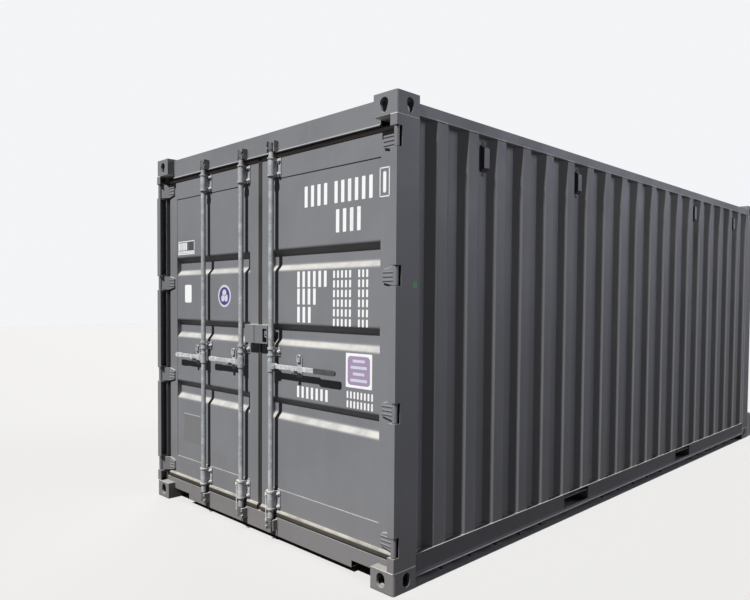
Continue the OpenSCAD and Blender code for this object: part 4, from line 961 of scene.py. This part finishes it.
def plateShells(boxes, x, thick, corner, bevel=None):
    # rounded rectangles: a ring on the surface, one near the top and one a little inside it, with flat caps
    boxes = np.asarray(boxes, float)
    bevel = bevel or film["bevel"] * thick
    steps = film["steps"] if corner < film["bigCorner"] else 6 * film["steps"]
    turn = np.linspace(0, math.pi / 2, steps)
    angle = np.concatenate([turn + math.pi / 2 * q for q in range(4)])
    signY, signZ = np.repeat([1, -1, -1, 1], steps), np.repeat([1, 1, -1, -1], steps)
    rings = []
    for out, shrink in ((0, 0), (1 - bevel / thick, 0), (1, bevel)):
        halfY, halfZ = boxes[:, 2:3] - shrink, boxes[:, 3:4] - shrink
        radius = np.minimum(np.minimum(halfY, halfZ), corner)
        y = boxes[:, 0:1] + signY * (halfY - radius) + radius * np.cos(angle)
        z = boxes[:, 1:2] + signZ * (halfZ - radius) + radius * np.sin(angle)
        rings.append(np.stack([np.full_like(y, x - out * thick), y, z], -1))
    points = np.stack(rings, 1)
    return points, manyFaces(tubeFaces(3, len(angle)), 3 * len(angle), len(boxes))


def rowBoxes(rows):
    # one bar for each character, about half of its pitch wide
    boxes = []
    for first, last, low, high, count in rows:
        pitch = (last - first) / count
        half = abs(pitch) * film["barShare"]
        boxes += [(first + pitch * (i + 0.5), (low + high) / 2, half, (high - low) / 2) for i in range(count)]
    return boxes


def addFilm(name, boxes, layer, material, side, corner=film["round"], face="panelFace"):
    # a layer of 1 lies on a film, and one of 2 on two films
    x = doors[face] - layer * film["thick"]
    addSharp(name, *plateShells(boxes, x, film["thick"], corner), material, f"{side}_door", "paint")


def ringBoxes(y, z, halfY, halfZ):
    # four bars along the edges of a rectangle
    half = film["line"] / 2
    level = [(y, z + off, halfY + half, half) for off in (halfZ, -halfZ)]
    return level + [(y + off, z, half, halfZ) for off in (halfY, -halfY)]


def makeMarks():
    addFilm("marks_right", rowBoxes(rightRows), 0, whiteFilm, "right")
    addFilm("mark_frame", ringBoxes(*plates["frame"]), 0, whiteFilm, "right", 0.001, "leafFace")
    addFilm("mark_boxed", plates["boxed"], 0, whiteFilm, "right", 0.01, "leafFace")
    addFilm("sticker_border", plates["border"], 0, whiteFilm, "right")
    addFilm("sticker", plates["sticker"], 1, purpleFilm, "right", 0.022)
    addFilm("sticker_bars", plates["stickerBars"], 2, milkyFilm, "right", 0.001)
    addFilm("notice", plates["notice"], 0, whiteFilm, "left", 0.012)
    addFilm("disc_rim", plates["discRim"], 0, milkyFilm, "left", 0.1)
    addFilm("disc", plates["disc"], 1, blueFilm, "left", 0.1)
    addFilm("disc_middle", plates["discMiddle"], 2, milkyFilm, "left", 0.1)
    addFilm("plate_marks", ringBoxes(*plates["dataFrame"]) + plates["dataBars"], 1, whiteFilm, "left", 0.001)
    addFilm("plate_square", plates["dataSquare"], 0, darkFilm, "left", 0.001)
    addFilm("patch", plates["patch"], 0, patchFilm, "left")
    addFilm("patch_line", plates["patchLine"], 1, lineFilm, "left", 0.001)


makeMarks()
print("marks made")


# Tabs and screws of the vent covers, and the panels of the wooden floor with their screws

vent = {
    "x": (-2.211, -1.051, 1.269, 2.429), "wall": 1.177,
    "tabs": [(2.2735, 0.0115), (2.4545, 0.0095)], "halfTab": 0.014, "tabThick": 0.002, "tabRound": 0.004,
    "screw": 0.0048, "screwThick": 0.0045,
}
plank = {
    "count": 5, "from": -2.851, "to": 2.955, "half": 1.165, "low": 0.149, "top": 0.177, "gap": 0.002,
    "corner": 0.002, "bevel": 0.0012,
    "screw": 0.0055, "screwThick": 0.0006, "screwEnd": 0.03, "screwSpan": 1.12, "screwCount": 14,
}


def onSideWalls(shells, wallY):
    # plates that were made facing -X, turned to face -Y, and their mirror images
    points, faces = shells
    turned = points.reshape(-1, 3)[:, [1, 0, 2]] + (0, -wallY, 0)
    return joinShells([(turned, faces), (turned * (1, -1, 1), [face[::-1] for face in faces])])


def makeVentTabs():
    tabs = [(x, z, vent["halfTab"], half) for x in vent["x"] for z, half in vent["tabs"]]
    heads = [(x, z, vent["screw"], vent["screw"]) for x, z, *_ in tabs]
    tabShells = plateShells(tabs, 0, vent["tabThick"], vent["tabRound"])
    headShells = plateShells(heads, 0, vent["screwThick"], vent["screw"])
    addPiece("vent_tabs", *onSideWalls(tabShells, vent["wall"]), ventPlastic, "container", "vent")
    addPiece("vent_screws", *onSideWalls(headShells, vent["wall"]), darkFilm, "container", "vent")


def onFloor(shells, z):
    # plates that were made facing -X, laid down to face up
    points, faces = shells
    return points.reshape(-1, 3)[:, [1, 2, 0]] * (1, 1, -1) + (0, 0, z), faces


def makeFloor():
    long = (plank["to"] - plank["from"]) / plank["count"]
    middles = plank["from"] + long * (np.arange(plank["count"]) + 0.5)
    panels = [(x, side * plank["half"] / 2, (long - plank["gap"]) / 2, (plank["half"] - plank["gap"]) / 2)
              for x in middles for side in (-1, 1)]
    shells = plateShells(panels, 0, plank["top"] - plank["low"], plank["corner"], plank["bevel"])
    floor = addPiece("floor_panels", *onFloor(shells, plank["low"]), plywood, "container", "plywood", smooth=False)
    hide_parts("floor")
    last = 0.5 * long - plank["screwEnd"]
    rows = [x + off for x in middles for off in (-last, -0.25 * long, 0, 0.25 * long, last)]
    across = np.linspace(-plank["screwSpan"], plank["screwSpan"], plank["screwCount"])
    heads = [(x, y, plank["screw"], plank["screw"]) for x in rows for y in across]
    shells = plateShells(heads, 0, plank["screwThick"], plank["screw"])
    addPiece("floor_screws", *onFloor(shells, plank["top"]), forgedZinc, "container", "galvanised")


makeVentTabs()
makeFloor()
print("vent tabs and floor made")


# Floor of the stage, light and world. The card only shows in the gloss of the side.

stage = {"size": 70.0, "pale": (0.43, 0.425, 0.415, 1), "dim": (0.084, 0.082, 0.082, 1)}
light = {
    "key": {"toward": (-0.601, -0.0295, 0.799), "strength": 2.30, "softness": 1.6},
    "side": {"toward": (0.84, -0.45, 0.30), "strength": 0.28, "softness": 22.0, "colour": (0.92, 0.94, 1.10)},
    "card": {"toward": (0.40, -0.91, 0.10), "strength": 0.30, "softness": 30.0, "glossOnly": True},
    "back": {"toward": (0.55, 0.75, 0.37), "strength": 0.30, "softness": 40.0},
    "ambient": (0.017, 0.020, 0.034, 1), "mirrored": (0.26, 0.27, 0.29, 1), "background": (0.90, 0.91, 0.93, 1),
}


def seenRay(tree):
    # 1 for rays from the camera and through glass
    path = addNode(tree, "LightPath").outputs
    return calc("MAXIMUM", path["Is Camera Ray"], path["Is Transmission Ray"])


def makeStage():
    half = stage["size"] / 2
    corners = np.array([(-half, -half, 0), (half, -half, 0), (half, half, 0), (-half, half, 0)])
    mesh = bpy.data.meshes.new("stage_floor")
    mesh.from_pydata(corners.tolist(), [], [[0, 1, 2, 3]])
    floor = newObject("stage_floor", mesh)
    material, tree, shader = newMaterial("stage", specular=0.1, Roughness=0.9)
    feed(shader["Base Color"], blend(seenRay(tree), stage["dim"], stage["pale"]))
    mesh.materials.append(material)


def addSun(name, look):
    data = bpy.data.lights.new(name, "SUN")
    data.energy = math.pi * look["strength"]
    data.angle = math.radians(look["softness"])
    data.color = look.get("colour", (1, 1, 1))
    lamp = newObject(name, data)
    lamp.rotation_mode = "QUATERNION"
    lamp.rotation_quaternion = Vector(look["toward"]).to_track_quat("Z", "Y")
    lamp.visible_diffuse = not look.get("glossOnly", False)


def makeWorld():
    world = bpy.data.worlds.new("world")
    bpy.context.scene.world = world
    world.use_nodes = True
    tree = world.node_tree
    glossy = addNode(tree, "LightPath").outputs["Is Glossy Ray"]
    soft = blend(glossy, light["ambient"], light["mirrored"])
    feed(tree.nodes["Background"].inputs["Color"], blend(seenRay(tree), soft, light["background"]))


makeStage()
for name in ("key", "side", "card", "back"):
    addSun(name, light[name])
makeWorld()
bpy.context.scene.view_settings.view_transform = "Standard"
print("stage and light set")
